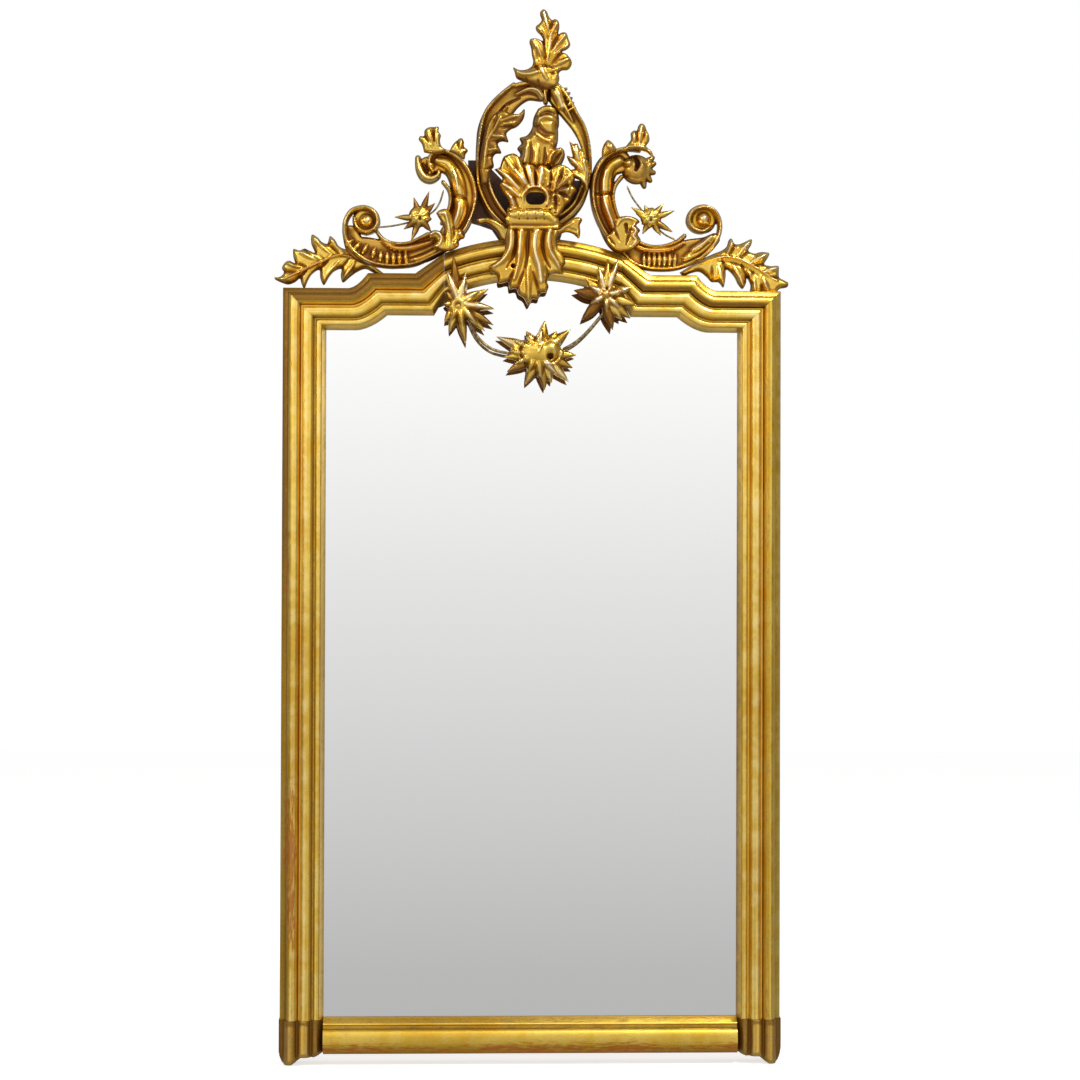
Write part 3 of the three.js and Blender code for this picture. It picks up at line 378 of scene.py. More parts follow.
MOULDING_GOLD = (0.76, 0.45, 0.035, 1), (0.90, 0.62, 0.10, 1), (0.15, 0.054, 0.005, 1), 0.85, 0.88
FRAME_TIMBER = (0.36, 0.20, 0.09, 1), (0.17, 0.085, 0.038, 1), 90
moulding_gilt = gilding("moulding_gilt", *MOULDING_GOLD)
stile_wood = timber("stile_wood", *FRAME_TIMBER, "z")
LENGTHS = 56
for side, hand in ((-1, "left"), (1, "right")):
    mitre = GAP * math.sqrt(2)
    heights = [k / LENGTHS for k in range(LENGTHS + 1)]
    low, high_out, high_in = FOOT_TOP + GAP, SHOULDER - mitre, SHOULDER - TOP_RAIL - mitre
    pairs = [((side * FRAME_HALF, low + (high_out - low) * h),
              (side * SIGHT_HALF, low + (high_in - low) * h)) for h in heights]
    # Painted light and shade: on the left stile the outer band darker towards the top, the torus's outer
    # flank darker near the foot and the groove by the bead darker; on the right stile the outer band
    # lighter, the torus's inner flank and the sight edge darker.
    if side < 0:
        def shade(x, z, across):
            return (0.9 * hump(across, 4, 11) * hump(z, 1400, 900) + 0.3 * hump(across, 58, 12)
                    + 0.5 * hump(across, 13, 6) * hump(z, 0, 700))

        def rubbed(x, z, across):
            return (0.75 * hump(across, 22, 15) * hump(z, 330, 420)
                    + 0.5 * hump(across, 11, 9) * hump(z, 700, 700))
    else:
        def shade(x, z, across):
            return 0.45 * hump(across, 26, 9) + 0.3 * hump(across, 78, 7) - 0.55 * hump(across, 4, 9)

        def rubbed(x, z, across):
            return 0.5 * hump(across, 9, 9) * hump(z, 700, 700) + 0.3 * hump(across, 31, 12)
    moulding(f"{hand}_stile_moulding", f"{hand}_stile", pairs, SECTION, STILE, DIRT_AND_SHADE, moulding_gilt,
             stile_wood, shade, rubbed)

# ---------------------------------------------------------------- top rails and arch
# Two stepped shoulders and an arch between them, sawn to the curve and worked with the same
# members as the stiles. Butt joints show where the arch meets the shoulders.
RAISED = SHOULDER + 29
STEP_FOOT, STEP_TOP = 352, 314  # mm from the middle: where the shoulder's cove starts and ends
COVE = 1.8  # how hollow it is
RAMP_FOOT, RAMP_RISE = 224, 39  # the straight slope up to the arch
SIGHT_STEP_FOOT, SIGHT_STEP_TOP, SIGHT_RAMP_FOOT = 338, 277, 188  # the same on the sight edge
ARCH_HALF, ARCH_RADIUS = 169, 485
ARCH_CENTRE = RAISED + RAMP_RISE - math.sqrt(ARCH_RADIUS ** 2 - ARCH_HALF ** 2)


def arch(x, radius=ARCH_RADIUS):
    return ARCH_CENTRE + math.sqrt(radius ** 2 - x ** 2)


def between(a, b, count):
    return [tuple(p + (q - p) * k / count for p, q in zip(a, b)) for k in range(count)]


rail_gilt = gilding("rail_gilt", *MOULDING_GOLD, run=(1.3, 9, 9))
rail_wood = timber("rail_wood", *FRAME_TIMBER, "x")
for side, hand in ((-1, "left"), (1, "right")):
    sight = SHOULDER - TOP_RAIL
    end = ARCH_HALF + GAP
    steps = [k / 14 for k in range(15)]
    cove = [(RAISED - SHOULDER) * s ** COVE for s in steps]
    ramp_top = RAISED + RAMP_RISE * (RAMP_FOOT - end) / (RAMP_FOOT - ARCH_HALF)
    turns = [(FRAME_HALF, SHOULDER, SIGHT_HALF, sight),
             *((STEP_FOOT - (STEP_FOOT - STEP_TOP) * s, SHOULDER + c,
                SIGHT_STEP_FOOT - (SIGHT_STEP_FOOT - SIGHT_STEP_TOP) * s, sight + c)
               for s, c in zip(steps, cove)),
             (RAMP_FOOT, RAISED, SIGHT_RAMP_FOOT, sight + RAISED - SHOULDER),
             (end, ramp_top, end, arch(ARCH_HALF, ARCH_RADIUS - TOP_RAIL))]
    run = [p for a, b in zip(turns, turns[1:])
           for p in between(a, b, 6 if abs(a[0] - b[0]) > 20 else 1)]
    pairs = [((side * a, b), (side * c, d)) for a, b, c, d in [*run, turns[-1]]]
    # Painted light and shade: on the left shoulder the outer members darker; on the right one the outer
    # bead lighter and the torus's inner flank darker; on both the groove by the bead darker.
    if side < 0:
        def rail_light_and_shade(x, z, across):
            return 0.9 * max(0, min(1, (31 - across) / 5)) + 0.3 * hump(across, 58, 12)
    else:
        def rail_light_and_shade(x, z, across):
            return 0.9 * hump(across, 29, 11) - 0.3 * hump(across, 6, 9) + 0.3 * hump(across, 58, 10)
    moulding(f"top_rail_{hand}_moulding", f"top_rail_{hand}", pairs, SECTION, STILE, DIRT_AND_SHADE,
             rail_gilt, rail_wood, rail_light_and_shade)


# Painted shade on the arch: the torus's inner flank and the groove by the bead darker, and the outer
# band darker on its left half.
def rail_light_and_shade(x, z, across):
    return (0.7 * hump(across, 30, 9) + 0.4 * hump(across, 58, 10)
            + 0.5 * hump(across, 6, 9) * hump(x, -170, 200))


spans = [ARCH_HALF * (1 - k / 20) for k in range(41)]
pairs = [((x, arch(x)), (x, arch(x, ARCH_RADIUS - TOP_RAIL))) for x in spans]
moulding("top_arch_moulding", "top_arch", pairs, SECTION, STILE, DIRT_AND_SHADE, rail_gilt, rail_wood, rail_light_and_shade)

# ---------------------------------------------------------------- bottom rail
# One straight moulding between the feet: a narrow sight edge and bead over a broad ovolo, worn to
# the red bole along its lower half. It butts on both corner feet.
RAIL_TOP, RAIL_HEIGHT = 40.5, 67
rail_section = [(0, 33), (0, 38), (9, 48), *swell(9, 6, 48, 52, 6)[1:], (20, 49),
                *swell(20, 47, 53, 66, 20), (67, 46), (67, 0), (14, 0), (14, 33)]
# How dirty and how shaded the rail is across: its grooves and its underside are dark with dirt and with
# painted shade.
rail_dirt_and_shade = [(0, 0.6), (5, 0.45), (9, 0.65), (12, 0.2), (15, 0.5), (17, 0.7), (20.5, 0.7), (24, 0.45),
             (30, 0.35), (42, 0.3), (52, 0.45), (60, 0.6), (64, 0.8), (67, 0.95)]
half = SIGHT_HALF - GAP
ends = [-half + 2 * half * k / 60 for k in range(61)]
pairs = [((x, RAIL_TOP), (x, RAIL_TOP - RAIL_HEIGHT)) for x in ends]
moulding("bottom_rail_moulding", "bottom_rail", pairs, rail_section, RAIL_HEIGHT, rail_dirt_and_shade,
         rail_gilt, rail_wood, rubbed=lambda x, z, across: 0.62 * hump(across, 56, 22))

# ---------------------------------------------------------------- corner feet
# Each lower corner is a block that carries the stile's members down, a little prouder, to short
# curled toes. Its gilding is the dullest on the frame.
SQUARE = 1.9  # mm of the mirror's face under one square of the pattern


def edge(r, power=6):
    return np.sqrt(1 - np.abs(r) ** power)


GOUGES = {
    "round": lambda r: edge(r, 2),
    "blade": lambda r: edge(r, 4) * (1 - 0.45 * np.abs(r) ** 1.4),
    "petal": lambda r: edge(r, 3) * (1 - 0.3 * np.abs(r)) - 0.1 * np.exp(-(r / 0.16) ** 2),
    "hollow": lambda r: edge(r) * (0.66 + 0.34 * r * r),
}


def curve(points, step=1.3):
    """A smooth path through points, each with its half width and lift."""
    p = np.array([points[0], *points, points[-1]], float)
    rows = []
    for a, b, c, d in zip(p, p[1:], p[2:], p[3:]):
        count = max(2, int(np.hypot(*(c - b)[:2]) / step))
        for t in np.arange(count) / count:
            rows.append(b + ((c - a) * t + (2 * a - 5 * b + 4 * c - d) * t * t
                             + (3 * b - a - 3 * c + d) * t ** 3) / 2)
    return np.array([*rows, p[-1]])


def eased(values, wood, passes):
    """Averages every point with its neighbours in the wood."""
    for _ in range(passes):
        total, count = values * wood, wood.astype(float)
        for axis, shift in ((0, 1), (0, -1), (1, 1), (1, -1)):
            total = total + np.roll(values * wood, shift, axis)
            count = count + np.roll(wood, shift, axis)
        values = np.where(wood, total / np.maximum(count, 1), values)
    return values


class Carving:
    """Wood cut in relief: its depth in front of the wall, in mm, at every point of a fine grid."""

    PITCH = 1.1

    def __init__(self, back, level, first, last):
        """Back of the wood and depth of its drawing, in mm; two corners, in pattern squares."""
        self.back, self.level = back, level
        (x0, z1), (x1, z0) = at(*first, level), at(*last, level)
        self.x, self.z = np.meshgrid(np.arange(x0, x1, self.PITCH), np.arange(z0, z1, self.PITCH),
                                     indexing="ij")
        self.depth = np.full(self.x.shape, float(back))
        self.rim = np.full(self.x.shape, -9.0)  # mm in from the wood's edge, below zero outside it
        # Tone paints light and shade into the gilding: above zero a painted highlight, below zero a
        # painted shade; on a few pieces it also darkens the whole gilding.
        self.tone, self.amber = np.zeros(self.x.shape), np.zeros(self.x.shape)

    def reach(self, points):
        """The grid's points near a stroke, and their place across it, its lift and width there."""
        path = curve(points) if len(points) > 1 else np.array([points[0], points[0]], float)
        spots = np.array([at(c, r, self.level) for c, r in path[:, :2]])
        half, lift = np.maximum(path[:, 2] * SQUARE, 0.3), path[:, 3]
        (x0, z0), (x1, z1) = spots.min(0) - half.max() - 3, spots.max(0) + half.max() + 3
        near = np.nonzero((self.x > x0) & (self.x < x1) & (self.z > z0) & (self.z < z1))
        p = np.stack([self.x[near], self.z[near]], -1)
        across, high, wide = np.full(len(p), 99.0), np.zeros(len(p)), np.ones(len(p))
        for k, a in enumerate(spots[:-1]):
            d = spots[k + 1] - a
            share = np.clip((p - a) @ d / (d @ d + 1e-9), 0, 1)
            gap = p - a - share[:, None] * d
            width = half[k] + (half[k + 1] - half[k]) * share
            turn_side = np.where(d[0] * gap[:, 1] - d[1] * gap[:, 0] < 0, -1, 1)
            ratio = np.hypot(*gap.T) / width * turn_side
            closer = np.abs(ratio) < np.abs(across)
            across[closer], wide[closer] = ratio[closer], width[closer]
            high[closer] = (lift[k] + (lift[k + 1] - lift[k]) * share)[closer]
        return near, across, high, wide

    def stroke(self, points, gouge="round", tone=0.0, amber=0.0):
        """Leaves wood standing along a path of (column, row, half width, lift)."""
        near, across, high, wide = self.reach(points)
        height = self.back + high * GOUGES[gouge](np.clip(across, -1, 1))
        self.keep(near, height, wide * (1 - np.abs(across)), tone, amber)

    def keep(self, near, height, rim, tone, amber):
        """Adds wood to what stands already, where it stands higher."""
        old, old_rim = self.depth[near], self.rim[near]
        wins = np.where(old_rim > 0, (rim > 0) & (height > old), rim > old_rim)
        self.depth[near] = np.where(wins, height, old)
        self.tone[near] = np.where(wins, tone, self.tone[near])
        self.amber[near] = np.where(wins, amber, self.amber[near])
        self.rim[near] = np.maximum(old_rim, rim)

    def blank(self, outline, lift, soft=3, tone=0.0, amber=0.0):
        """Leaves wood standing inside an outline, its edge rounded off over some squares."""
        path = curve([(*p, 0, 0) for p in [*outline, outline[0]]])
        corners = np.array([at(c, r, self.level) for c, r in path[:-1, :2]])
        inside, gap = np.zeros(self.x.shape, bool), np.full(self.x.shape, 1e9)
        for (ax, az), (bx, bz) in zip(corners, np.roll(corners, -1, 0)):
            dx, dz = bx - ax, bz - az
            share = np.clip(((self.x - ax) * dx + (self.z - az) * dz) / (dx * dx + dz * dz + 1e-9), 0, 1)
            gap = np.minimum(gap, np.hypot(self.x - ax - share * dx, self.z - az - share * dz))
            inside ^= ((az > self.z) != (bz > self.z)) & (
                self.x < ax + (self.z - az) * dx / (dz if dz else 1e-9))
        rim = np.where(inside, gap, -gap)
        height = self.back + lift * edge(np.clip(1 - rim / (soft * SQUARE), 0, 1), 2)
        self.keep(np.nonzero(gap < 1e9), height.ravel(), rim.ravel(), tone, amber)

    def model(self, points, tone=0.0):
        """Raises the standing wood along a path, or lowers it where a lift is negative."""
        near, across, high, _ = self.reach(points)
        swelling = (1 - np.clip(across, -1, 1) ** 2) ** 2
        self.depth[near] += high * swelling
        self.tone[near] += tone * swelling

    def pierce(self, points):
        near, across, _, wide = self.reach(points)
        self.rim[near] = np.minimum(self.rim[near], wide * (np.abs(across) - 1))

    def solid(self, name, node, material, thickness=99.0, soften=2, seat=0.0):
        """Closes the wood with edges and a back, which a seat holds off the piece behind it."""
        wood = self.rim > 0
        self.depth = np.maximum(eased(self.depth, wood, soften), self.back + 1)
        small, large = (self.depth - eased(self.depth, wood, n) for n in (10, 90))
        # Recess darkens the hollows with dirt and painted shade; ridge brightens the crests and edges
        # with rubbing and a painted highlight.
        paint = {"recess": -small / 2.4 - large / 8, "ridge": small / 1.8 + large / 11,
                 "tone": self.tone, "bole": self.amber}
        rear = np.maximum(self.back + seat, eased(self.depth, wood, 20) - thickness)
        ring = wood.copy()
        for i, j in ((0, 1), (0, -1), (1, 0), (-1, 0), (1, 1), (1, -1), (-1, 1), (-1, -1)):
            ring |= np.roll(wood, (i, j), (0, 1))
        slope_x, slope_z = np.gradient(self.rim, self.PITCH)
        pull = np.where(wood, 0, -self.rim / np.maximum(slope_x ** 2 + slope_z ** 2, 0.3))
        pull = np.clip(pull, 0, 1.5)
        front = np.stack([self.x + pull * slope_x, -self.depth, self.z + pull * slope_z], -1) * MM
        low, high = (np.array(c) for c in cad_box)
        front = np.clip(front, low, high)
        rows, columns = wood.shape
        bm = bmesh.new()
        layers = {key: bm.verts.layers.float.new(key) for key in paint}
        behind = bm.verts.layers.float.new("behind")
        bmesh.ops.create_grid(bm, x_segments=rows - 1, y_segments=columns - 1, size=1)
        spots = {}
        for v in bm.verts:
            spots[v] = (round((v.co.x + 1) / 2 * (rows - 1)), round((v.co.y + 1) / 2 * (columns - 1)))
        waste = [v for v, s in spots.items() if not ring[s]]
        for v, s in spots.items():
            v.co, v[behind] = front[s], rear[s]
            for key, layer in layers.items():
                v[layer] = min(1, max(-1 if key == "tone" else 0, paint[key][s]))
        bmesh.ops.delete(bm, geom=waste, context="VERTS")
        bmesh.ops.delete(bm, geom=[f for f in bm.faces if not any(wood[spots[v]] for v in f.verts)],
                         context="FACES")
        grown = bmesh.ops.extrude_face_region(bm, geom=list(bm.faces))["geom"]
        for v in (g for g in grown if isinstance(g, bmesh.types.BMVert)):
            v[layers["recess"]], v[layers["tone"]] = 1, -1
            v.co.y = -v[behind] * MM
        bm.verts.layers.float.remove(behind)
        bmesh.ops.recalc_face_normals(bm, faces=list(bm.faces))
        piece(name, bm, node, [material], crease=50)


FOOT_BASE = -46.5
FOOT_HALF, FOOT_WIDTH = 477, 84  # mm: a foot's outer side from the middle, and its width
for side, hand, first, last in ((-1, "left", (276, 1012), (332, 1072)),
                                (1, "right", (735, 1012), (792, 1072))):
    foot = Carving(0, 60, first, last)
    across = FOOT_HALF - side * foot.x
    members, depths = zip(*[(a, d + 2) for a, d in SECTION[:-3]])
    low = np.interp(across, [0, 2, 6, 12, 24, 34, 42, 66, 84],
                    [23, 13, 4, 0, 0, 6, 13, 13, 20]) + FOOT_BASE
    drop = np.clip(foot.z - low, 0, 10) / 10
    foot.depth = np.interp(across, members, depths) - 12 * (1 - np.sqrt(1 - (1 - drop) ** 2))
    foot.rim = np.minimum(np.minimum(across, FOOT_WIDTH - across),
                          np.minimum(foot.z - low, FOOT_TOP - foot.z))
    foot.tone[:] = -0.95
    # Painted highlights on the crests of the torus and the reed, painted shade in the groove by the
    # bead; the dark band under the top is the joint.
    for amount, value, middle, half in ((0.75, across, 48, 8), (0.35, across, 22, 6),
                                        (-0.8, foot.z, FOOT_TOP - 5, 4), (-0.9, across, 61, 4)):
        foot.tone += amount * np.exp(-((value - middle) / half) ** 2)
    foot.amber[:] = 0.45
    foot.solid(f"{hand}_foot_block", f"corner_foot_{hand}", moulding_gilt)

# ---------------------------------------------------------------- mirror glass
# One plate of old silvered glass, held in the rebate by the back boards.
plate = Finish("old_silvered_glass")
place = plate.place()
cloud, dust = plate.noise(place, 2.2, 3), plate.noise(place, 420, 2, 0.7)
tint = plate.mix(plate.ease(dust, 0.66, 0.8) * 0.25, (0.93, 0.935, 0.925, 1), (0.72, 0.70, 0.64, 1))
wave = plate.node("ShaderNodeBump", None, {"Strength": 0.05, "Distance": 0.002, "Height": cloud})
plate.surface(plate.node("ShaderNodeBsdfPrincipled", None, {
    "Base Color": tint, "Metallic": 1.0, "Roughness": 0.015 + plate.ease(cloud, 0.5, 0.8) * 0.02,
    "Normal": wave}))
PLATE_FACE, PLATE_THICKNESS, PLATE_HALF = 32.7, 4, 405.5  # mm: from the wall, and half its width
bm = bmesh.new()
outline = [(-PLATE_HALF, 28), (-PLATE_HALF, 1356.9), (-SIGHT_STEP_FOOT, 1356.9),
           (-SIGHT_STEP_TOP, 1386), (-SIGHT_RAMP_FOOT, 1386), (-ARCH_HALF, 1393),
           *((x, arch(x, ARCH_RADIUS - TOP_RAIL + 12)) for x in (-150, -120, -90, -60, -30, 0))]
outline += [(-x, z) for x, z in reversed(outline[:-1])]
bmesh.ops.create_circle(bm, cap_ends=True, segments=len(outline), radius=1)
for v, (x, z) in zip(bm.verts, outline):
    v.co = (x * MM, -PLATE_FACE * MM, z * MM)
grown = bmesh.ops.extrude_face_region(bm, geom=list(bm.faces))["geom"]
bmesh.ops.translate(bm, vec=(0, PLATE_THICKNESS * MM, 0),
                    verts=[g for g in grown if isinstance(g, bmesh.types.BMVert)])
bmesh.ops.recalc_face_normals(bm, faces=list(bm.faces))
piece("mirror_plate", bm, "mirror_glass", [plate.owner], crease=None)

# ---------------------------------------------------------------- back boards and battens
# Three softwood boards close the back, and two battens across them tie the frame and carry the
# hangers.


def dress(node, material):
    """Gives a piece that keeps its plain shape its finish."""
    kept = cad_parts[node]
    kept.data.materials.clear()
    kept.data.materials.append(material)


board_wood = timber("board_wood", (0.42, 0.24, 0.11, 1), (0.20, 0.10, 0.045, 1), 90, "x")
batten_wood = timber("batten_wood", (0.30, 0.17, 0.08, 1), (0.13, 0.065, 0.03, 1), 110, "x")
for node, wood in (("back_board_lower", board_wood), ("back_board_middle", board_wood),
                   ("back_board_upper", board_wood), ("batten_lower", batten_wood),
                   ("batten_upper", batten_wood)):
    dress(node, wood)

# ---------------------------------------------------------------- hangers
# Two blackened iron straps, screwed to the upper batten, each with a D-ring that swings in its
# rolled knuckle.
f = Finish("blackened_iron")
rust = f.ease(f.noise(f.place(), 180, 5, 0.7), 0.52, 0.72)
iron = f.surface(f.node("ShaderNodeBsdfPrincipled", None, {
    "Base Color": f.mix(rust * 0.8, (0.045, 0.042, 0.04, 1), (0.16, 0.062, 0.022, 1)),
    "Metallic": 0.9 - rust * 0.7, "Roughness": 0.42 + rust * 0.35,
    "Normal": f.node("ShaderNodeBump", None, {"Strength": 0.4, "Distance": 0.0006, "Height": rust})}))
HANGER_HALF, PIN_HEIGHT, PIN_DEPTH = 250, 1228.5, 6  # mm: from the middle, up, from the wall
BOW, CORNER, WIRE = 19, 5, 2  # mm: radii of the ring's bow, its corners and its wire
for side, hand in ((-1, "left"), (1, "right")):
    for node in (f"hanger_strap_{hand}", f"hanger_screw_{hand}_1", f"hanger_screw_{hand}_2"):
        dress(node, iron)
    bow = [(BOW * math.cos(a), -15 - BOW * math.sin(a))
           for a in [math.radians(d) for d in range(-8, 189, 7)]]
    bend = [(CORNER - BOW - CORNER * math.cos(a), CORNER * math.sin(a) - CORNER)
            for a in [math.radians(d) for d in (30, 60, 90)]]
    path = [*bow, *bend, (-9, 0), (0, 0), (9, 0), *((-x, z) for x, z in reversed(bend))]
    rings = []
    for k, (x, z) in enumerate(path):
        (ax, az), (bx, bz) = path[k - 1], path[(k + 1) % len(path)]
        run = math.hypot(bx - ax, bz - az)
        out = (-(bz - az) / run, (bx - ax) / run)
        rings.append([((side * HANGER_HALF + x + WIRE * math.cos(t) * out[0]) * MM,
                       (WIRE * math.sin(t) - PIN_DEPTH) * MM,
                       (PIN_HEIGHT + z + WIRE * math.cos(t) * out[1]) * MM)
                      for t in [2 * math.pi * n / 12 for n in range(12)]])
    bm = bmesh.new()
    loft(bm, [*rings, rings[0]])
    piece(f"{hand}_d_ring", bm, f"hanger_ring_{hand}", [iron],
          body=f"ring_{hand}")

# ---------------------------------------------------------------- crest back plate
# A plain board, painted dark, that ties the crest's openwork together behind the cartouche.
f = Finish("painted_back_plate")
worn = f.ease(f.noise(f.place(), 60, 4, 0.65), 0.4, 0.7)
painted = f.surface(f.node("ShaderNodeBsdfPrincipled", None, {
    "Base Color": f.mix(worn, (0.045, 0.016, 0.008, 1), (0.10, 0.035, 0.014, 1)),
    "Roughness": 0.55 + worn * 0.2,
    "Normal": f.node("ShaderNodeBump", None, {"Strength": 0.4, "Distance": 0.0008, "Height": worn})}))
dress("crest_back_plate", painted)

# ---------------------------------------------------------------- volute scrolls
# Two long C-curved scrolls that rest on the shoulders: a rolled rim, an amber channel with a row of
# gadroons, and an outer end wound round a ball.
OPENWORK = 22.3, 45  # mm in front of the wall: the wood's back, and where its outline is drawn
carving_gilt = gilding("carving_gilt", (0.67, 0.385, 0.022, 1), (0.84, 0.575, 0.085, 1),
                       (0.15, 0.048, 0.003, 1), 0.35, 0.97, 0.30)
# In both volutes the channel is painted darker as shade, and the rims, gadroons and balls lighter as
# painted highlight.
work = Carving(*OPENWORK, (336, 200), (449, 274))
work.stroke([(350, 232, 8, 18), (356, 245, 11, 20), (368, 250, 14, 20), (385, 252, 13, 20),
             (405, 253, 12, 20), (425, 249, 12, 20), (441, 241, 11, 20)], "hollow", tone=-0.45,
            amber=0.7)
work.stroke([(365, 220, 13, 19)], "hollow", tone=0.1)
work.stroke([(382, 240, 3, 21), (393, 247, 4, 24), (406, 248, 4.5, 25), (420, 245, 4, 24),
             (432, 241, 3, 23)], amber=0.9, tone=-0.1)
work.model([(417, 258, 3, 3), (426, 254.5, 3.4, 4), (436, 249, 3, 3)], tone=0.4)
for c, r, turn_c, turn_r in ((352, 240, 5, 3), (359, 243, 4, 5), (366, 246, 3, 6),
                             (374, 249, 1.5, 7), (381, 252, 1, 7.5), (387.5, 253, 0.5, 8),
                             (393.5, 253.5, 0, 8), (399.5, 253.5, 0, 8), (405.5, 253, -0.5, 8)):
    work.stroke([(c, r, 2.6, 22), (c - turn_c * 0.5, r + turn_r * 0.6, 3.4, 26.5),
                 (c - turn_c, r + turn_r, 3.0, 23)], tone=0.15)
work.stroke([(354, 217, 2, 24), (357, 227, 2.4, 28), (365, 231.5, 2.6, 30), (373.6, 229, 2.6, 31),
             (377.6, 222, 2.6, 32), (376, 214, 2.6, 32), (370, 208.5, 2.6, 31),
             (362, 206.8, 2.6, 30), (352, 210, 2.7, 30), (346, 219, 2.8, 30), (344.5, 229, 2.8, 29),
             (346, 238, 2.6, 28), (351, 247, 2.4, 27), (359, 255, 2.4, 27), (371, 262, 2.5, 27),
             (386, 265, 2.5, 27), (401, 265, 2.5, 26), (415, 263, 2.5, 26), (429, 257, 2.4, 25),
             (443, 250, 2, 24)], tone=0.2)
work.stroke([(366.5, 220.5, 8, 31)], tone=0.3)
work.stroke([(377, 231, 2, 22), (383, 238.5, 2.2, 25), (394, 243, 2, 25), (408, 242.5, 2, 25),
             (418, 238.5, 2.2, 24), (428, 234, 3, 24)])
work.model([(408, 258, 1.2, -4), (425, 252, 1.2, -4), (440, 244, 1.2, -4)])
work.solid("left_volute", "volute_scroll_left", carving_gilt)

work = Carving(*OPENWORK, (615, 200), (730, 276))
work.stroke([(622, 243, 10, 19), (635, 252, 11.5, 20), (652, 257, 12, 20), (672, 256, 12.5, 20),
             (690, 250, 12, 20), (705, 245, 9, 20), (715, 238, 6, 20)], "hollow", tone=-0.45,
            amber=0.7)
work.stroke([(704, 219.5, 13, 19)], "hollow", tone=0.3)
work.stroke([(634, 244, 3, 22), (645, 249, 4, 24), (658, 250, 4.5, 25), (672, 248, 4, 24),
             (684, 242, 3, 22)], amber=1.0)
for k in range(7):
    work.stroke([(644 + 5.2 * k, 254.5, 2.4, 23), (644 + 5.2 * k, 259.5, 3, 26.5),
                 (644.5 + 5 * k, 264, 2.6, 24)], tone=0.3)
work.stroke([(686, 258, 5, 22), (696, 252, 5.6, 27), (706, 245, 5, 28), (715, 236, 3, 26)],
            tone=0.0)
work.stroke([(693, 250, 3.4, 30), (702, 244.5, 4.2, 33), (711, 237, 3.4, 31)], tone=0.6)
work.model([(690, 255, 2, -3), (699, 251, 2.2, -5), (709, 243, 2, -4)], tone=-0.6)
work.stroke([(711, 226, 2, 24), (703, 230.5, 2.5, 28), (694, 228.5, 2.6, 30), (689, 221, 2.6, 31),
             (691.5, 212, 2.6, 32), (699, 207, 2.6, 32), (708, 206.8, 2.6, 31), (716, 212, 2.6, 30),
             (720, 221, 2.6, 30), (720, 231, 2.6, 29), (716, 241, 2.6, 28), (709, 250, 2.6, 27),
             (699, 259, 2.5, 26)], tone=0.25)
work.stroke([(703.8, 218.8, 8, 31)], tone=0.45)
work.stroke([(620, 247, 2, 24), (630, 259.5, 2.4, 26), (641, 265.5, 2.5, 26), (656, 268, 2.5, 26),
             (674, 267.5, 2.5, 26), (689, 263, 2.4, 25), (700, 257, 2, 24)], tone=0.1)
work.stroke([(634, 237, 2, 24), (641, 242.5, 2.2, 25), (653, 246, 2, 25), (666, 245, 2, 25),
             (677, 241, 2.2, 25), (685, 235, 2.4, 24)], tone=0.1)
work.solid("right_volute", "volute_scroll_right", carving_gilt)

# ---------------------------------------------------------------- C-scrolls
# Two upright scrolls that spring from the volutes and lean on the ring. The left one ends in an open
# curl, the right one in a knob with a deep eye.
# Painted highlights along the bodies and rims and painted shade in the cuts and the curl; the right
# scroll's knob, blades and eye are painted dark as shade.
work = Carving(*OPENWORK, (411, 143), (482, 244))
work.stroke([(428, 165, 10, 20), (440, 162, 9, 20), (452, 167, 9.5, 20), (459, 178, 10.5, 20),
             (463, 192, 11.5, 20), (464, 206, 12, 20), (459, 221, 12, 19), (450, 234, 11, 18)],
            "hollow", amber=0.8)
work.stroke([(426, 168, 10, 18)], "hollow", tone=-0.3)
work.stroke([(437, 160, 4, 24), (447, 163, 6.5, 27), (454, 172, 8, 29), (458, 183, 8, 30),
             (460, 194, 7.4, 28)], tone=0.1)
work.stroke([(459, 198, 7, 26), (461, 208, 8.2, 29), (457, 220, 8, 28), (451, 231, 6.4, 25)],
            tone=0.05, amber=0.5)
work.model([(449, 161, 2, 0), (458, 174, 2.6, -4), (463.5, 188, 2.4, -3)], tone=-0.4)
work.model([(453, 166, 2, 2), (456, 178, 2.6, 3), (457, 190, 2, 2)], tone=0.6)
work.model([(459, 203, 2, 2), (458, 213, 2.8, 3), (453, 225, 2, 2)], tone=0.5)
work.model([(452, 197, 2, -3), (458, 196, 2.4, -4), (466, 199, 2, -3)], tone=-0.3)
work.stroke([(433, 171, 2, 24), (429, 163, 2.3, 27), (432, 154, 2.6, 30), (441, 150.5, 2.7, 31),
             (451, 153, 2.7, 31), (461, 160.5, 2.7, 31), (469, 171, 2.7, 30), (474, 184, 2.8, 30),
             (475.5, 197, 2.8, 30), (473, 211, 2.7, 29), (467, 225, 2.5, 27), (460, 235, 2.2, 25)],
            tone=0.3)
work.stroke([(418, 157, 3.2, 22), (419.5, 168, 4.2, 27), (424, 176, 4.6, 29), (431, 178.5, 4.2, 29),
             (438, 175, 3, 27), (439, 170, 1.8, 25)], tone=0.15)
work.stroke([(430.5, 165, 4.8, 26)], tone=0.1)
work.model([(423, 163, 2.2, -3), (427, 171, 2.6, -6)], tone=-0.4)
work.stroke([(443, 181, 2, 24), (449.5, 190, 2.2, 25), (450.5, 201, 2.2, 25), (447.5, 212, 2.2, 24),
             (442, 222, 2.2, 23)], tone=0.1)
work.solid("left_c_scroll", "c_scroll_left", carving_gilt, seat=0.6)

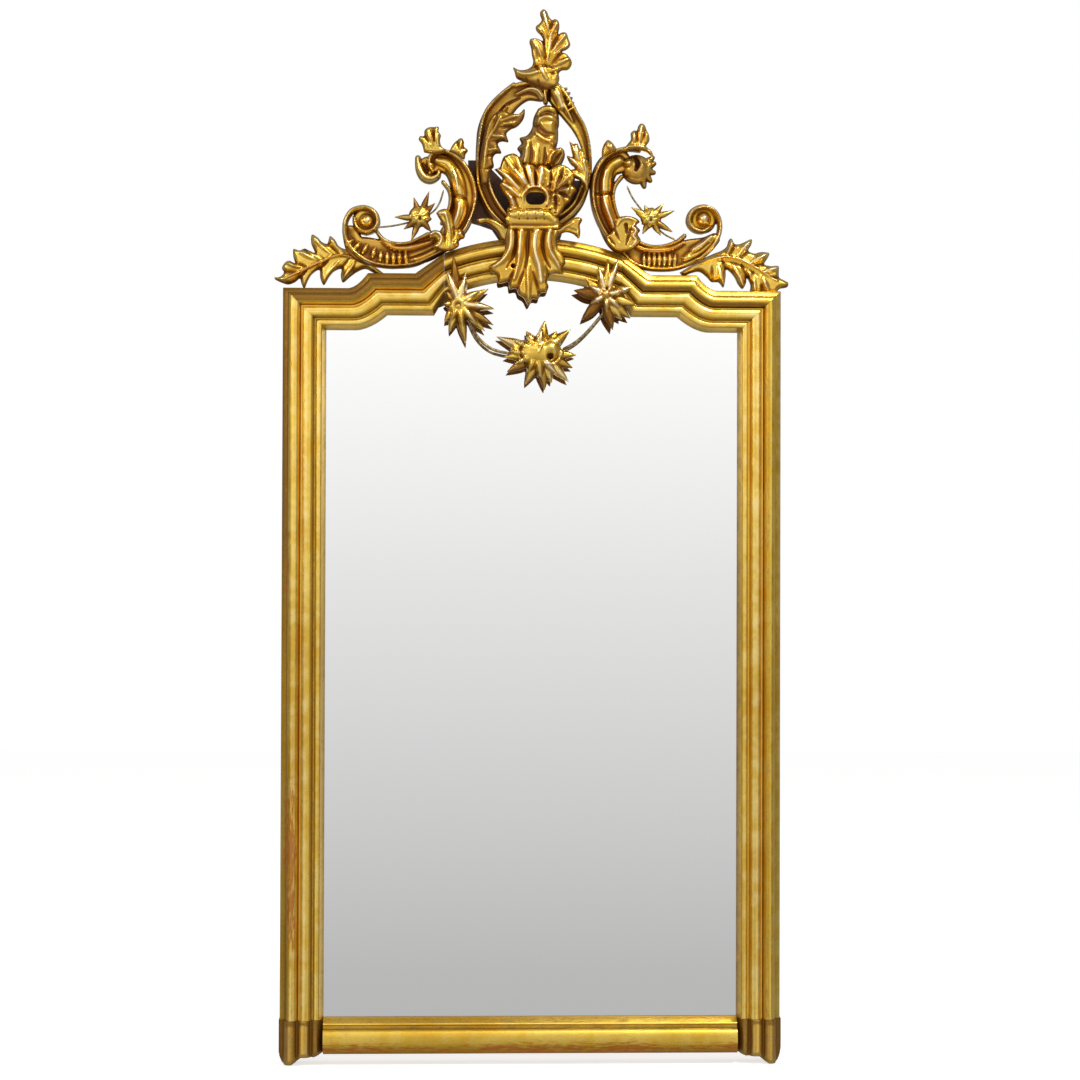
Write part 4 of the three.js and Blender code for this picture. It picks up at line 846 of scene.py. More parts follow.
work = Carving(*OPENWORK, (586, 141), (660, 258))
work.stroke([(620, 160, 12, 19), (609, 165, 12, 20), (603, 178, 12, 20), (602, 193, 12, 20),
             (605, 208, 11.5, 20), (610, 224, 11, 19), (617, 238, 11, 18), (626, 248, 9, 17)],
            "hollow", amber=0.7)
work.stroke([(620, 160, 6, 24), (611, 166, 7, 27), (606.5, 178, 7.4, 29), (606, 190, 7, 28)],
            tone=0.1)
work.stroke([(606, 196, 6.4, 26), (608, 208, 7.4, 28), (613, 221, 7, 27), (619, 233, 6, 25)],
            amber=0.9, tone=0.05)
work.stroke([(637, 168, 15, 26)], tone=-0.6, amber=0.5)
for c, r in ((653.5, 156), (655, 162), (654.5, 171), (651, 179), (645, 185)):
    work.stroke([(641, 168, 8, 22), (c, r, 2.4, 10)], "blade", tone=-0.6, amber=0.4)
work.model([(643, 153, 2, 2), (650, 162, 2.6, 3), (648, 175, 2, 2)], tone=0.5)
work.model([(628, 178, 2, 2), (638, 181, 2.4, 3), (646, 177, 2, 1)], tone=0.5)
work.stroke([(629, 163, 5.8, 30)], tone=0.2)
work.model([(635, 156, 2.2, -8), (638, 163, 3.4, -14), (636, 170, 2.2, -8)], tone=-1)
work.stroke([(640, 149.5, 1.8, 24), (629, 148, 2.4, 28), (618, 150, 2.6, 30), (607, 156, 2.7, 31),
             (599, 166, 2.8, 31), (594.5, 178, 2.8, 31), (593, 192, 2.8, 31), (594.5, 206, 2.8, 30),
             (599, 220, 2.8, 29), (606, 233, 2.6, 28), (614, 244, 2.4, 26), (622, 252, 2, 24)],
            tone=0.2)
work.model([(606, 170, 2, 2), (603, 184, 2.6, 3), (604, 200, 2.6, 3), (610, 218, 2.4, 3),
            (616, 232, 2, 1)], tone=0.6)
work.stroke([(622, 176, 2.4, 22), (616, 184, 2.2, 25), (613.5, 195, 2, 25), (615.5, 208, 2, 25),
             (620, 220, 2, 24)])
work.model([(597, 193, 2, -3), (603, 194, 2.4, -4), (610, 193, 2, -3)], tone=-0.3)
work.solid("right_c_scroll", "c_scroll_right", carving_gilt, seat=0.6)

# ---------------------------------------------------------------- ring and calyx
# An oval ring of two limbs frames a calyx: a flaring bell with a bud in its mouth. The limbs are
# channelled and meet above in two rolls.
# The limbs' channels are painted darker as shade, and their rims and rolls lighter as painted highlight.
work = Carving(*OPENWORK, (471, 72), (549, 236))
work.stroke([(541, 92, 8, 20), (526, 90, 9.5, 20), (511, 98, 11, 20), (499, 111, 13, 20),
             (490, 127, 12, 20), (485, 145, 9, 20), (482.5, 162, 7, 20), (482.5, 178, 7.5, 21),
             (487, 195, 8.4, 21), (495, 210, 8.6, 21), (507, 222, 8.6, 20)], "hollow", tone=-0.6,
            amber=0.4)
work.stroke([(514, 83, 2, 22), (502, 93, 2.4, 25), (492, 103, 2.4, 26), (485, 114, 2.4, 26),
             (481, 130, 2.2, 26), (479, 146, 2.2, 26), (477.8, 161, 2.3, 26), (478, 180, 2.7, 27),
             (481.5, 193, 2.9, 28), (488.5, 208, 2.9, 28), (498, 219, 2.7, 26),
             (506, 226, 2.2, 24)])
work.stroke([(487.5, 170, 2, 22), (489.5, 184, 2.8, 27), (494.5, 197, 3, 29), (502, 209, 3, 29),
             (511, 219, 2.2, 25)], tone=0.25)
work.stroke([(517, 93.5, 2, 22), (528, 89, 3, 27), (537, 90, 4.6, 30), (542, 96, 3.8, 27)],
            tone=0.3)
work.stroke([(514, 85, 2.4, 22), (526, 82.5, 3.2, 27), (538, 83.5, 3.8, 29), (546, 90, 3.6, 28)],
            tone=0.1)
work.stroke([(507, 105, 2, 20), (501, 115, 3, 24), (500, 126, 2, 20)], tone=-0.2)
work.model([(520, 97, 1.5, -3), (508, 103, 2, -5), (499, 113, 2.2, -5), (492, 128, 2, -4)],
           tone=-0.5)
work.solid("left_ring_limb", "ring_limb_left", carving_gilt, seat=1.2)

work = Carving(*OPENWORK, (528, 74), (597, 232))
work.stroke([(552, 90, 8, 20), (562, 102, 9, 21), (570.5, 114, 7.6, 20), (578, 126, 6, 19),
             (584, 140, 4.6, 18), (587.8, 156, 4, 18), (588, 172, 4.2, 19), (584.5, 188, 5, 20),
             (577.5, 203, 6, 20), (566, 215, 7, 20), (554, 223, 7, 19)], "hollow", tone=-0.45)
work.stroke([(556, 82, 2.2, 24), (564, 91, 2.4, 27), (570.5, 101, 2.4, 28), (577, 113, 2.2, 27),
             (584, 125, 2, 26), (588.3, 139, 1.9, 26), (590.2, 154, 1.9, 26), (590.2, 170, 2, 26),
             (587, 187, 2.4, 27), (580, 203, 2.6, 27), (569, 215.5, 2.6, 27), (556, 224, 2.2, 25)],
            tone=0.1)
for c, r in ((566.5, 88), (569.5, 92.5), (571.6, 97.5), (573.2, 102.5), (574.8, 107.5)):
    work.stroke([(c - 4, r + 1.5, 2.6, 25), (c + 0.6, r - 0.8, 1, 20)], tone=0.2)
work.stroke([(581, 188, 2, 21), (574, 203, 2.6, 25), (564, 212.5, 2.8, 26), (555, 217, 2.4, 23)],
            tone=0.1)
work.stroke([(553, 86, 6, 26), (558, 95, 6.8, 31), (562, 106, 5, 26)], tone=0.35)
work.stroke([(562, 100, 3, 26), (568, 112, 2.8, 25), (573, 121, 1.6, 20)], tone=0.2)
work.stroke([(546, 84, 4, 26), (545, 93, 3.4, 26), (546, 101, 2.4, 22)], amber=0.4)
work.model([(549, 84, 1.6, -5), (549, 93, 2, -11), (549.5, 104, 1.8, -9)], tone=-0.6)
work.solid("right_ring_limb", "ring_limb_right", carving_gilt, seat=1.8)

# The bell is painted darker all over, with painted shade on its upper left and in its flutes and painted
# highlights on its rim and ribs; the bud is painted dark as shade, with highlights on its folds.
work = Carving(*OPENWORK, (512, 112), (570, 174))
work.blank([(534, 117), (532, 127), (527, 134), (520, 136.5), (521.5, 142), (517.5, 147),
            (520.5, 153), (517, 160), (518, 168), (538, 171), (557, 168), (564.5, 158), (565, 150),
            (561, 146), (557, 147), (558.5, 139), (558.5, 127), (556, 118), (545, 115)], 27, 10,
           tone=-0.45, amber=0.45)
work.model([(533, 126, 2, 2), (536, 133, 3, 5), (542, 138.5, 3.4, 6), (550, 141.5, 3.4, 6),
            (558, 141, 2.6, 2)], tone=0.15)
work.model([(536, 119, 5, -3), (539, 128, 5.5, -6), (546, 133.5, 4.5, -5), (554, 134, 3, -3)],
           tone=-0.6)
work.model([(527, 140, 3, 2), (526, 152, 4, 5), (523, 166, 4, 3)], tone=0.0)
work.model([(537, 146, 3, 2), (537, 157, 4.4, 5), (535, 170, 4, 3)], tone=0.2)
work.model([(531, 142, 2, -2), (531.5, 154, 2.4, -4), (529, 168, 2.4, -3)], tone=-0.35)
work.model([(545, 148, 2, -2), (545, 158, 2.6, -5), (543, 168, 2.4, -3)], tone=-0.5)
work.model([(549, 164, 2.6, 3), (551, 156, 3.2, 7), (556, 150, 3.2, 8), (562, 149, 2.6, 6),
            (564, 155, 2, 3)], tone=0.1)
work.model([(554, 164, 2.4, -4), (557.5, 158, 3, -8), (561, 153.5, 2, -5)], tone=-0.7)
work.solid("calyx_cup", "calyx_bell", carving_gilt, soften=3, seat=2.4)

work = Carving(OPENWORK[0], 40, (531, 101), (561, 131))
work.blank([(538, 108), (534, 116), (533, 125), (538, 129), (548, 130.5), (558, 128), (559.5, 118),
            (557.5, 109), (551, 104.5), (544, 105)], 24, 9, tone=-0.8)
work.model([(537, 113, 3, 2), (541, 107.5, 3.4, 5), (548, 106.5, 3.4, 5), (555, 109, 3, 3)],
           tone=0.4)
work.model([(541, 115, 3, -3), (547, 112.5, 3.2, -6), (554, 114.5, 2.6, -4)], tone=-0.5)
work.model([(537, 121, 3, 2), (543, 117.5, 3.2, 5), (550, 118, 3.2, 5), (557, 121, 2.4, 2)],
           tone=0.3)
work.model([(537, 128, 2.4, -2), (544, 124, 2.6, -5), (552, 124.5, 2.6, -5), (558, 127, 2, -2)],
           tone=-0.4)
work.solid("calyx_bud", "bud", carving_gilt, seat=3)

# ---------------------------------------------------------------- shell, band and clasp
# The rocaille: a shell with a pierced eye, a rolled band under it, and a fluted clasp whose drop
# leaf hangs over the arch.
SHELL, BAND, CLASP = (54.6, 66), (76.9, 86), (68.3, 82)  # mm in front of the wall, as above
work = Carving(*SHELL, (489, 149), (582, 224))
work.blank([(494.3, 168.5), (499.5, 167), (501.5, 161), (504, 156), (509, 153.5), (515, 153),
            (520, 157.5), (522.5, 164), (527, 163), (533, 164.5), (537, 168), (540, 165),
            (546, 165.5), (550, 169), (554, 166), (561, 164), (568, 166.5), (573, 171.5),
            (575.5, 178), (573.5, 184), (577, 189.5), (573, 195), (570.5, 201), (566, 205),
            (562, 211), (556, 217), (535, 220), (514, 219), (508.5, 211), (509.5, 204),
            (506.5, 197), (502.5, 191), (499.5, 184), (502.5, 178), (499, 173.5)], 13, 3,
           amber=0.25)
# Painted highlights on the lobes and ribs, painted shade in the grooves between them; the whole right
# fan is painted dark as shade.
for path, tone in (
        (((497, 169.5, 1.8), (507, 177, 3.4), (519, 189, 3)), 0.6),
        (((506, 158, 2.4), (513, 170, 3.8), (524, 185, 3)), 0.0),
        (((516, 156.5, 2), (521, 170, 3.2), (528, 184, 2.6)), -0.1),
        (((502.5, 183.5, 1.6), (510, 189, 3), (519, 196, 2.4)), 0.6),
        (((507, 193, 1.6), (511.5, 199, 2.8), (514, 206, 2.6)), 0.6),
        (((515.5, 170, 2), (521.5, 178.5, 3.4), (528, 187, 2.4)), 0.6),
        (((528, 166.5, 3), (530.5, 176, 4), (533, 187, 2.6)), 0.6),
        (((541, 168.5, 3.4), (541, 177, 4.2), (539, 187, 2.6)), 0.6)):
    work.model([(c, r, half * wider, lift) for (c, r, half), wider, lift
                in zip(path, (1.3, 1.25, 1.2), (4, 9, 4))], tone=tone)
for c, r in ((558, 170), (569, 176), (571, 190), (564, 205)):
    work.model([(c, r, 3.4, 2), ((c + 551) / 2 + 2, (r + 190) / 2, 4.6, 7), (553, 191, 2.6, 3)],
               tone=0.1)
for c, r in ((564, 168), (574, 184), (571, 199), (556, 213)):
    work.model([(c, r, 2, -3), ((c + 551) / 2 + 2, (r + 190) / 2, 2.2, -5), (555, 192, 1.6, -2)],
               tone=-0.4)
# Painted shade over the right fan.
work.model([(562, 190, 24, 0)], tone=-0.95)
work.model([(563, 175, 2, 3), (570, 181, 2.4, 3), (567, 193, 2, 3)], tone=0.5)
work.model([(551, 171, 1.4, -4), (551, 180, 1.8, -6), (549, 187, 1.4, -4)], tone=-0.5)
work.model([(534.5, 168, 1.2, -4), (535.5, 177, 1.6, -7), (536, 186, 1.2, -4)], tone=-0.5)
work.model([(523, 165, 1, -3), (525.5, 174, 1.4, -6), (529, 184, 1.2, -3)], tone=-0.4)
work.model([(523, 203, 2, 2), (523, 195, 2.8, 5), (528, 189, 3, 7), (536, 187, 3, 7),
            (544, 190, 2.8, 7), (548, 197, 2.8, 6), (547, 205, 2.4, 4)], tone=0.4)
for k in range(7):
    a = math.radians(80 - 24 * k)
    work.stroke([(540 + 13.6 * math.cos(a), 198 - 16 * math.sin(a), 2.4, 19)], tone=0.35)
    work.stroke([(542 + 17.6 * math.cos(a), 199 - 20 * math.sin(a), 2.1, 17)], tone=0.1)
work.model([(514, 199, 3.5, -3), (517.5, 206, 3, -3)], tone=-0.2)
work.pierce([(532, 198.5, 6.4, 0), (539, 198.5, 6.4, 0)])
work.stroke([(512, 210, 5, 17), (518, 212, 5.4, 20), (528, 213, 5.4, 21), (541, 212.5, 5.2, 21)],
            tone=0.35)
work.solid("rocaille_shell", "shell", carving_gilt)

work = Carving(*BAND, (506, 206), (562, 231))
# The lower roll is painted darker as shade, the upper roll lighter as a painted highlight, and the
# notches darker as shade.
work.stroke([(512, 219, 7.5, 12), (530, 219.5, 8, 13), (548, 220.5, 7.5, 13), (557, 224, 4, 11)],
            tone=-0.4, amber=0.3)
work.stroke([(512.5, 214.5, 5.4, 16), (520, 214, 6, 19), (534, 213.8, 6.2, 19.6),
             (546, 215, 6, 18.6), (555, 221, 4.4, 15)], tone=0.25)
work.stroke([(511, 227, 2.6, 14), (528, 227.6, 3, 16.4), (545, 227.6, 3, 16.4),
             (557.5, 227, 2, 13)], tone=0.1)
for c in (519, 527.5, 536, 544.5):
    work.model([(c, 209, 1.8, -2), (c + 0.6, 214, 2, -3.4), (c, 219, 1.8, -2)], tone=-0.35)
work.solid("clasp_roll", "clasp_band", carving_gilt)

work = Carving(*CLASP, (486, 226), (570, 308))
work.blank([(507.5, 228), (532, 227.5), (558, 228.5), (557, 240), (559, 249), (563.5, 255),
            (566, 262), (562.5, 267.5), (563, 273.5), (556, 273), (550, 275), (547.5, 281),
            (549, 286), (546.5, 291.5), (541, 292.5), (538.5, 298.5), (532.5, 298.5),
            (528.3, 304.8), (524, 297.5), (518.8, 294), (516, 288), (509.8, 288.5), (508, 281.5),
            (498.8, 282.8), (497, 275), (490, 269.5), (489.5, 265), (496, 261), (502, 255.5),
            (505, 247), (505, 237)], 17, 4, amber=0.2)
# The flutes are painted lighter as highlight and the grooves between them darker as shade; the lower
# left and the deep hole are painted dark as shade.
for path, tone in (
        (((510, 228, 5), (511.5, 240, 5.6), (509, 251, 5.4), (502, 260, 4.6), (494.5, 266, 3)),
         0.3),
        (((521.5, 228, 5), (520.5, 241, 5.4), (519.5, 253, 5), (518, 265, 4), (514, 279, 3)), 0.35),
        (((537.5, 228, 6.4), (535, 241, 6.6), (535.5, 254, 6.4), (539, 266, 5.4), (541, 281, 4)),
         0.6),
        (((550.5, 228, 4.6), (548.5, 240, 5.2), (550, 251, 5), (556, 261, 4), (560, 268, 3)), 0.4)):
    work.model([(c, r, half, lift) for (c, r, half), lift in zip(path, (10, 10.5, 10, 7, 4))],
               tone=tone)
work.model([(528.5, 231, 2.4, -4), (527.5, 245, 2.6, -5), (527, 258, 2.4, -5), (525, 268, 2, -3)],
           tone=-0.5)
work.model([(544.5, 231, 1.8, -3), (542.5, 243, 2.2, -5), (544.5, 256, 2.2, -5),
            (550, 268, 1.8, -4)], tone=-0.4)
work.model([(515.5, 231, 1.8, -3), (515.5, 243, 2, -5), (513.5, 255, 2, -4), (507, 268, 1.8, -3)],
           tone=-0.35)
work.model([(528.3, 266, 3.4, 3), (528.3, 282, 4.4, 7), (528.3, 300, 3, 3)], tone=0.15)
work.model([(505, 263, 5, 0), (500, 276, 5, 0)], tone=-0.25)
for a, b in (((517, 290), (524, 270)), ((539.5, 293), (533, 272)), ((508, 283), (514, 270)),
             ((549, 277), (546, 266))):
    work.model([(*a, 2.2, -4), ((a[0] + b[0]) / 2, (a[1] + b[1]) / 2, 2.4, -5), (*b, 1.6, -2)],
               tone=-0.4)
work.model([(512.8, 266, 2.6, -13)], tone=-1)
work.solid("fluted_clasp", "clasp", carving_gilt)

# ---------------------------------------------------------------- leaves
# Acanthus leaves glued over the ring, the scrolls and their joints, each lobe hollowed with a gouge.
LEAVES = 54.6, 62


def veins(work, cuts, depth=4.0, half=2.3, tone=-0.35):
    """Gouge cuts between a leaf's lobes, each from its notch to the rib, painted darker as shade."""
    for (a, b), (c, d) in cuts:
        work.model([(a, b, half, -depth), ((a + c) / 2, (b + d) / 2, half, -depth),
                    (c, d, half * 0.6, -depth * 0.3)], tone=tone)


def lights(work, ribs, lift=6.0, half=4.0, tone=0.2):
    """Raised lines along the lobes, painted lighter as a highlight."""
    for (a, b), (c, d) in ribs:
        work.model([(a, b, half * 0.6, lift * 0.5), ((a + c) / 2, (b + d) / 2, half, lift),
                    (c, d, half * 0.5, lift * 0.4)], tone=tone)


work = Carving(*LEAVES, (474, 104), (528, 188))
work.blank([(482, 184), (479.5, 166), (481, 150), (484, 136), (488, 122), (495, 113), (503, 110),
            (511, 113), (519, 113.5), (524.5, 108.3), (524.5, 116), (521, 122.5), (516, 127),
            (511, 129), (506.5, 133.5), (508.5, 141.5), (502.5, 141), (498, 143.5), (501.5, 152.5),
            (496, 153.5), (493, 158), (494, 166), (490.5, 171), (488, 183)], 12, 4, tone=-0.9)
veins(work, [((512, 127), (499, 128)), ((503, 141), (492, 142)), ((496, 154), (486, 157)),
             ((493, 167), (485, 170)), ((497, 113), (493, 130))])
lights(work, [((521, 113.5), (501, 121)), ((500, 118), (488, 140)), ((487, 141), (484, 168)),
              ((505, 137), (493, 136)), ((498, 149), (489, 150)), ((514, 123), (504, 124))], 5, 3,
       0.25)
work.solid("left_limb_leaf", "limb_leaf_left", carving_gilt, thickness=12)

work = Carving(*LEAVES, (555, 136), (594, 196))
work.blank([(569.3, 140.3), (573, 143.5), (577.5, 143), (579.5, 147.5), (584, 151), (584.5, 157),
            (588.5, 161), (589.8, 168), (588.5, 178), (587.5, 191), (584, 186), (580, 180),
            (575, 177.5), (571, 170), (575, 168), (570, 163), (567, 155.5), (572.5, 156.5),
            (571.5, 150)], 13, 4, tone=0.3)
veins(work, [((573.5, 144), (577, 154)), ((580, 148), (582, 161)), ((572.5, 157), (581, 166)),
             ((575, 168), (584, 176)), ((585, 158), (586, 168))], 3.5, 1.8)
lights(work, [((570, 142), (579, 160)), ((583, 153), (586, 172)), ((569, 157), (582, 170)),
              ((574, 174), (586, 184))])
work.solid("right_limb_leaf", "limb_leaf_right", carving_gilt, thickness=12)

for name, node, first, last, outline, grooves, ridges, tone in (
        ("left_scroll_outer_leaf", "scroll_leaf_left_outer", (412, 120), (448, 160),
         [(424, 152), (422, 144), (418.6, 139), (420.5, 135.5), (424, 135.5), (424.5, 130),
          (429, 127), (434, 126.5), (438.8, 126.6), (438.5, 131), (441, 135), (440, 140),
          (441.5, 146), (446, 150), (440, 153), (430, 153)],
         [((424, 136), (431, 144)), ((433, 128), (434, 142))],
         [((437, 129), (438, 146)), ((428, 129), (432, 147))], -0.15),
        ("left_scroll_inner_leaf", "scroll_leaf_left_inner", (446, 132), (473, 162),
         [(449, 151), (453, 144), (457, 140), (461.5, 137.6), (464, 141.5), (464, 146),
          (468, 150), (465.5, 154), (464, 159), (456, 154)],
         [((464, 147), (460, 152)), ((457, 141), (459, 150))], [((461, 141), (461, 154))], -0.3),
        ("right_scroll_inner_leaf", "scroll_leaf_right_inner", (600, 134), (624, 162),
         [(602, 157), (602, 150), (604, 144), (607.5, 139.6), (611, 141), (614.5, 145),
          (617, 150), (613, 152.5), (607, 155)],
         [((605, 145), (608, 152))], [((611, 144), (611, 151)), ((607, 143), (607, 151))], 0.1),
        ("right_scroll_outer_leaf", "scroll_leaf_right_outer", (618, 118), (658, 160),
         [(621, 151), (627, 144.5), (631, 139), (630.8, 133), (634, 130), (637, 130),
          (638.5, 125.5), (641.5, 123), (645, 125), (647, 130), (649.3, 135), (649.5, 141),
          (646.5, 146), (652, 151), (653, 157), (646, 151.5), (636, 149.5)],
         [((637, 131), (637, 142)), ((645, 131), (642, 142))],
         [((641, 127), (639, 145)), ((633, 133), (634, 143)), ((630, 147), (646, 148))], 0.1)):
    work = Carving(*LEAVES, first, last)
    work.blank(outline, 13, 3.2, tone=tone, amber=0.2)
    veins(work, grooves, 4.5)
    lights(work, ridges)
    work.solid(name, node, carving_gilt, thickness=12)

work = Carving(*LEAVES, (425, 205), (470, 254))
work.blank([(436, 213), (440, 209.5), (446.5, 208.5), (450.5, 212.5), (453.5, 221), (456, 229),
            (460, 228.5), (465, 233), (464, 238), (459, 240), (459, 245.5), (452, 250), (444, 251),
            (437, 249), (432.5, 246.5), (435, 242), (435.5, 238.5), (430, 238.5), (428.8, 233),
            (433, 230), (439, 230.5), (443.5, 234), (444, 227), (440.5, 220.5)], 12, 3, tone=-0.1)
# Painted highlights on the left leaf's curls.
work.model([(438, 214, 3.4, 4), (444.5, 213.5, 3.4, 5), (447.5, 221, 2.6, 4), (449.5, 233, 2.4, 3),
            (450, 246, 2, 2)], tone=0.5)
work.model([(430.5, 234.5, 2.6, 4), (436, 232, 2.8, 6), (441, 236, 2.6, 5), (440.5, 243, 2, 3),
            (436, 247, 1.6, 2)], tone=0.8)
work.model([(460, 234, 3.6, 6)], tone=0.9)
work.model([(454.5, 243.5, 3, 4)], tone=0.4)
veins(work, [((444, 229), (445.5, 246)), ((454, 228), (454, 240)), ((437, 241), (434, 244))], 4,
      1.8)
work.solid("left_junction_leaf", "junction_leaf_left", carving_gilt, thickness=14)

work = Carving(*LEAVES, (603, 210), (646, 254))
work.blank([(608, 244), (606, 236.5), (611, 232.5), (614, 227), (614.5, 220.5), (620, 216.5),
            (628, 215.8), (635.5, 217.5), (640, 221.5), (636.5, 225), (640.5, 230), (638, 234),
            (641, 240), (637, 246), (629, 251), (617, 251)], 12, 3, tone=-0.35)
# Painted highlights on the right leaf's curls and painted shade in its hollow.
work.model([(617, 226, 2, 2), (621, 219.5, 2.8, 4), (629, 218, 2.8, 4), (635, 221, 2.2, 3)],
           tone=-0.1)
work.model([(637, 222, 2, 2), (632.5, 227, 2.6, 5), (636, 231, 2.6, 5), (633, 236, 2.6, 5),
            (636, 241, 2.6, 4), (631, 247, 2, 3)], tone=1.0)
work.model([(626, 225, 2.6, -6), (627, 233, 2, -5)], tone=-0.7)
veins(work, [((614, 229), (620, 242)), ((609, 238), (616, 247)), ((630, 230), (626, 246))], 4.5, 2)
work.solid("right_junction_leaf", "junction_leaf_right", carving_gilt, thickness=14)

work = Carving(*LEAVES, (511, 4), (577, 92))
work.blank([(543.7, 8.6), (547, 11), (549, 16), (552, 19.5), (555, 18.5), (558.8, 21), (559.5, 27),
            (558.5, 33.5), (562, 32), (566.5, 32.5), (568.5, 38), (570.5, 44.5), (567, 49),
            (562, 51.5), (567, 54), (571.8, 60.5), (571, 66), (567.5, 69.5), (562, 70), (559, 73),
            (559.5, 79), (556, 86), (546, 89), (534, 85), (522, 80.5), (516.6, 77.6), (514.8, 72),
            (513.3, 66.8), (519, 69.5), (526, 69), (531.5, 66), (533.3, 61), (532, 55), (531.2, 48),
            (529.5, 42), (530.6, 38.6), (536, 38), (543, 40), (541, 35), (537, 31), (535.8, 26.5),
            (539.5, 23), (541.8, 19.5), (540.3, 15), (540.5, 11)], 13, 3.4, amber=0.2)
veins(work, [((553, 20), (547, 40)), ((558.5, 34), (550, 52)), ((562, 51.5), (550, 66)),
             ((559, 72), (548, 74)), ((543, 40), (546, 68)), ((541, 34), (545, 46)),
             ((533, 63), (541, 74))], 5, 2.2)
# Painted highlights along the ribs, the sickle lobe and the base's roll.
work.model([(543.5, 12, 1.6, 2), (546, 22, 3, 5), (549.5, 33, 3, 4), (550, 46, 2, 3),
            (547, 62, 1.6, 2)], tone=0.5)
work.model([(531, 41, 1.2, 2), (536.5, 40, 1.6, 4), (542, 45, 1.8, 4), (544, 56, 1.4, 2)], tone=0.7)
lights(work, [((565, 35), (554, 50)), ((569, 59), (554, 66)), ((568, 46), (555, 54)),
              ((557, 22), (551, 36)), ((534, 42), (541, 56)), ((537, 27), (544, 38))], 6, 3.8, 0.25)
work.model([(536, 50, 2.6, -3), (538, 60, 2.6, -3)], tone=-0.15)
work.model([(515.5, 70, 2, 2), (521, 74, 3, 5), (529, 74.5, 3.6, 6), (538, 72, 3.4, 5)], tone=0.15)
work.model([(540, 66, 3, 2), (543, 73, 3.6, 5), (547, 79, 3, 3)], tone=0.3)
work.model([(554, 66, 3, 2), (556, 73, 3.6, 5), (555, 79, 3, 3)], tone=0.1)
# Painted shade under the leaf's lower edge and in the cuts.
work.model([(518, 80, 6, -2), (532, 84, 8, -4), (550, 88, 8, -3)], tone=-1.4)
work.model([(526, 79, 1.8, -2), (528, 84, 2, -3)], tone=-0.3)
work.model([(538, 80, 1.8, -2), (539, 86, 2, -3)], tone=-0.3)
work.model([(524, 70.5, 1.6, -3), (534, 67, 2, -4), (545, 66, 2, -4), (556, 69, 1.6, -3)],
           tone=-0.45)
work.solid("finial_acanthus", "finial_leaf", carving_gilt, thickness=13)

# ---------------------------------------------------------------- clasp leaves
# Two small leaves tucked behind the clasp, which carry it across to the ring.
work = Carving(*LEAVES, (473, 213), (518, 242))
work.blank([(476, 219), (484, 217), (494, 219), (504, 224), (512, 229), (516, 236), (510, 241),
            (502, 239.5), (496, 230.5), (487, 223.5), (479, 224)], 12, 3, tone=-0.5)
# A painted highlight along each leaf; the left one is painted darker all over.
work.model([(480, 219, 1.4, 2), (492, 221, 1.6, 3), (504, 228, 1.6, 3)], tone=0.4)
work.solid("left_clasp_leaf", "clasp_leaf_left", carving_gilt)
work = Carving(*LEAVES, (546, 211), (588, 242))
work.blank([(549, 230), (557, 228), (565, 222.5), (572, 218), (579, 217), (582.5, 219.5),
            (580, 225), (580.5, 231), (579, 238), (573, 233.5), (565, 232), (557, 236.5),
            (550, 240)], 13, 3, amber=0.2)
work.model([(554, 234, 1.6, 2), (564, 228, 2, 3), (573, 223, 1.6, 2)], tone=0.4)
veins(work, [((576, 231), (566, 228))], 3)
work.solid("right_clasp_leaf", "clasp_leaf_right", carving_gilt)

# ---------------------------------------------------------------- side leaves
# A long acanthus leaf on each shoulder, its tip curling past the corner.
SHOULDERS = 8, 20
work = Carving(*SHOULDERS, (268, 230), (390, 294))
work.blank([(271.4, 275.2), (276, 276.8), (281, 275.5), (283.5, 271.5), (281.5, 267.5),
            (284.5, 262.5), (289, 260), (294.5, 262.5), (293, 256), (293.2, 248.3), (299, 250),
            (304.5, 247.8), (309, 250), (314.5, 252), (311, 243), (311.5, 234), (317, 236.5),
            (322, 241.5), (327, 243), (328.5, 238.5), (330, 235.2), (335, 239.5), (339, 246),
            (346, 249), (355, 253.5), (365, 260), (376, 267), (384.5, 274), (379, 275.5),
            (372, 271.5), (365, 268.5), (357, 271.5), (350, 276.5), (342.8, 282), (340.5, 275.5),
            (341, 268.5), (334, 271), (329, 276.5), (323.6, 284.5), (320, 277.5), (319, 269.5),
            (312, 273.5), (308, 279.5), (304, 288), (301, 282.5), (299.5, 278), (295, 281.5),
            (288, 284), (281, 282), (275, 279)], 17, 5)
veins(work, [((294.5, 263), (307, 267)), ((314.5, 252.5), (325, 260)), ((327.5, 243.5), (339, 254)),
             ((340.8, 268), (350, 258)), ((319.2, 269), (330, 258.5)), ((299.6, 277.5), (309, 268)),
             ((304, 250), (319, 261)), ((284, 271.5), (297, 272)), ((321, 242), (333, 254))], 5,
      2.6)
lights(work, [((298, 251), (318, 260)), ((315, 238), (331, 254)), ((331, 238.5), (343, 253)),
              ((287, 262.5), (303, 268)), ((344, 279), (355, 262)), ((325, 281), (338, 262)),
              ((305, 285), (316, 268)), ((309, 251), (324, 260.5))], 6.5, 4.2, 0.15)
# Painted highlight along the midrib, painted shade on the lower tips.
work.model([(382, 272, 1, 2), (366, 263, 1.5, 4), (350, 257, 1.8, 6), (336, 256, 1.9, 7),
            (322, 261.5, 1.9, 7), (306, 269, 1.8, 6), (294, 274.5, 1.4, 4), (284, 279, 1, 2)],
           tone=0.45)
work.model([(272, 275.5, 2, 0), (280, 281, 4, 0), (290, 282, 3, 0)], tone=-0.9)
work.model([(343, 281, 3, 0)], tone=-0.6)
work.model([(324, 284, 2.6, 0)], tone=-0.6)
work.solid("left_side_leaf", "side_leaf_left", carving_gilt, thickness=16)

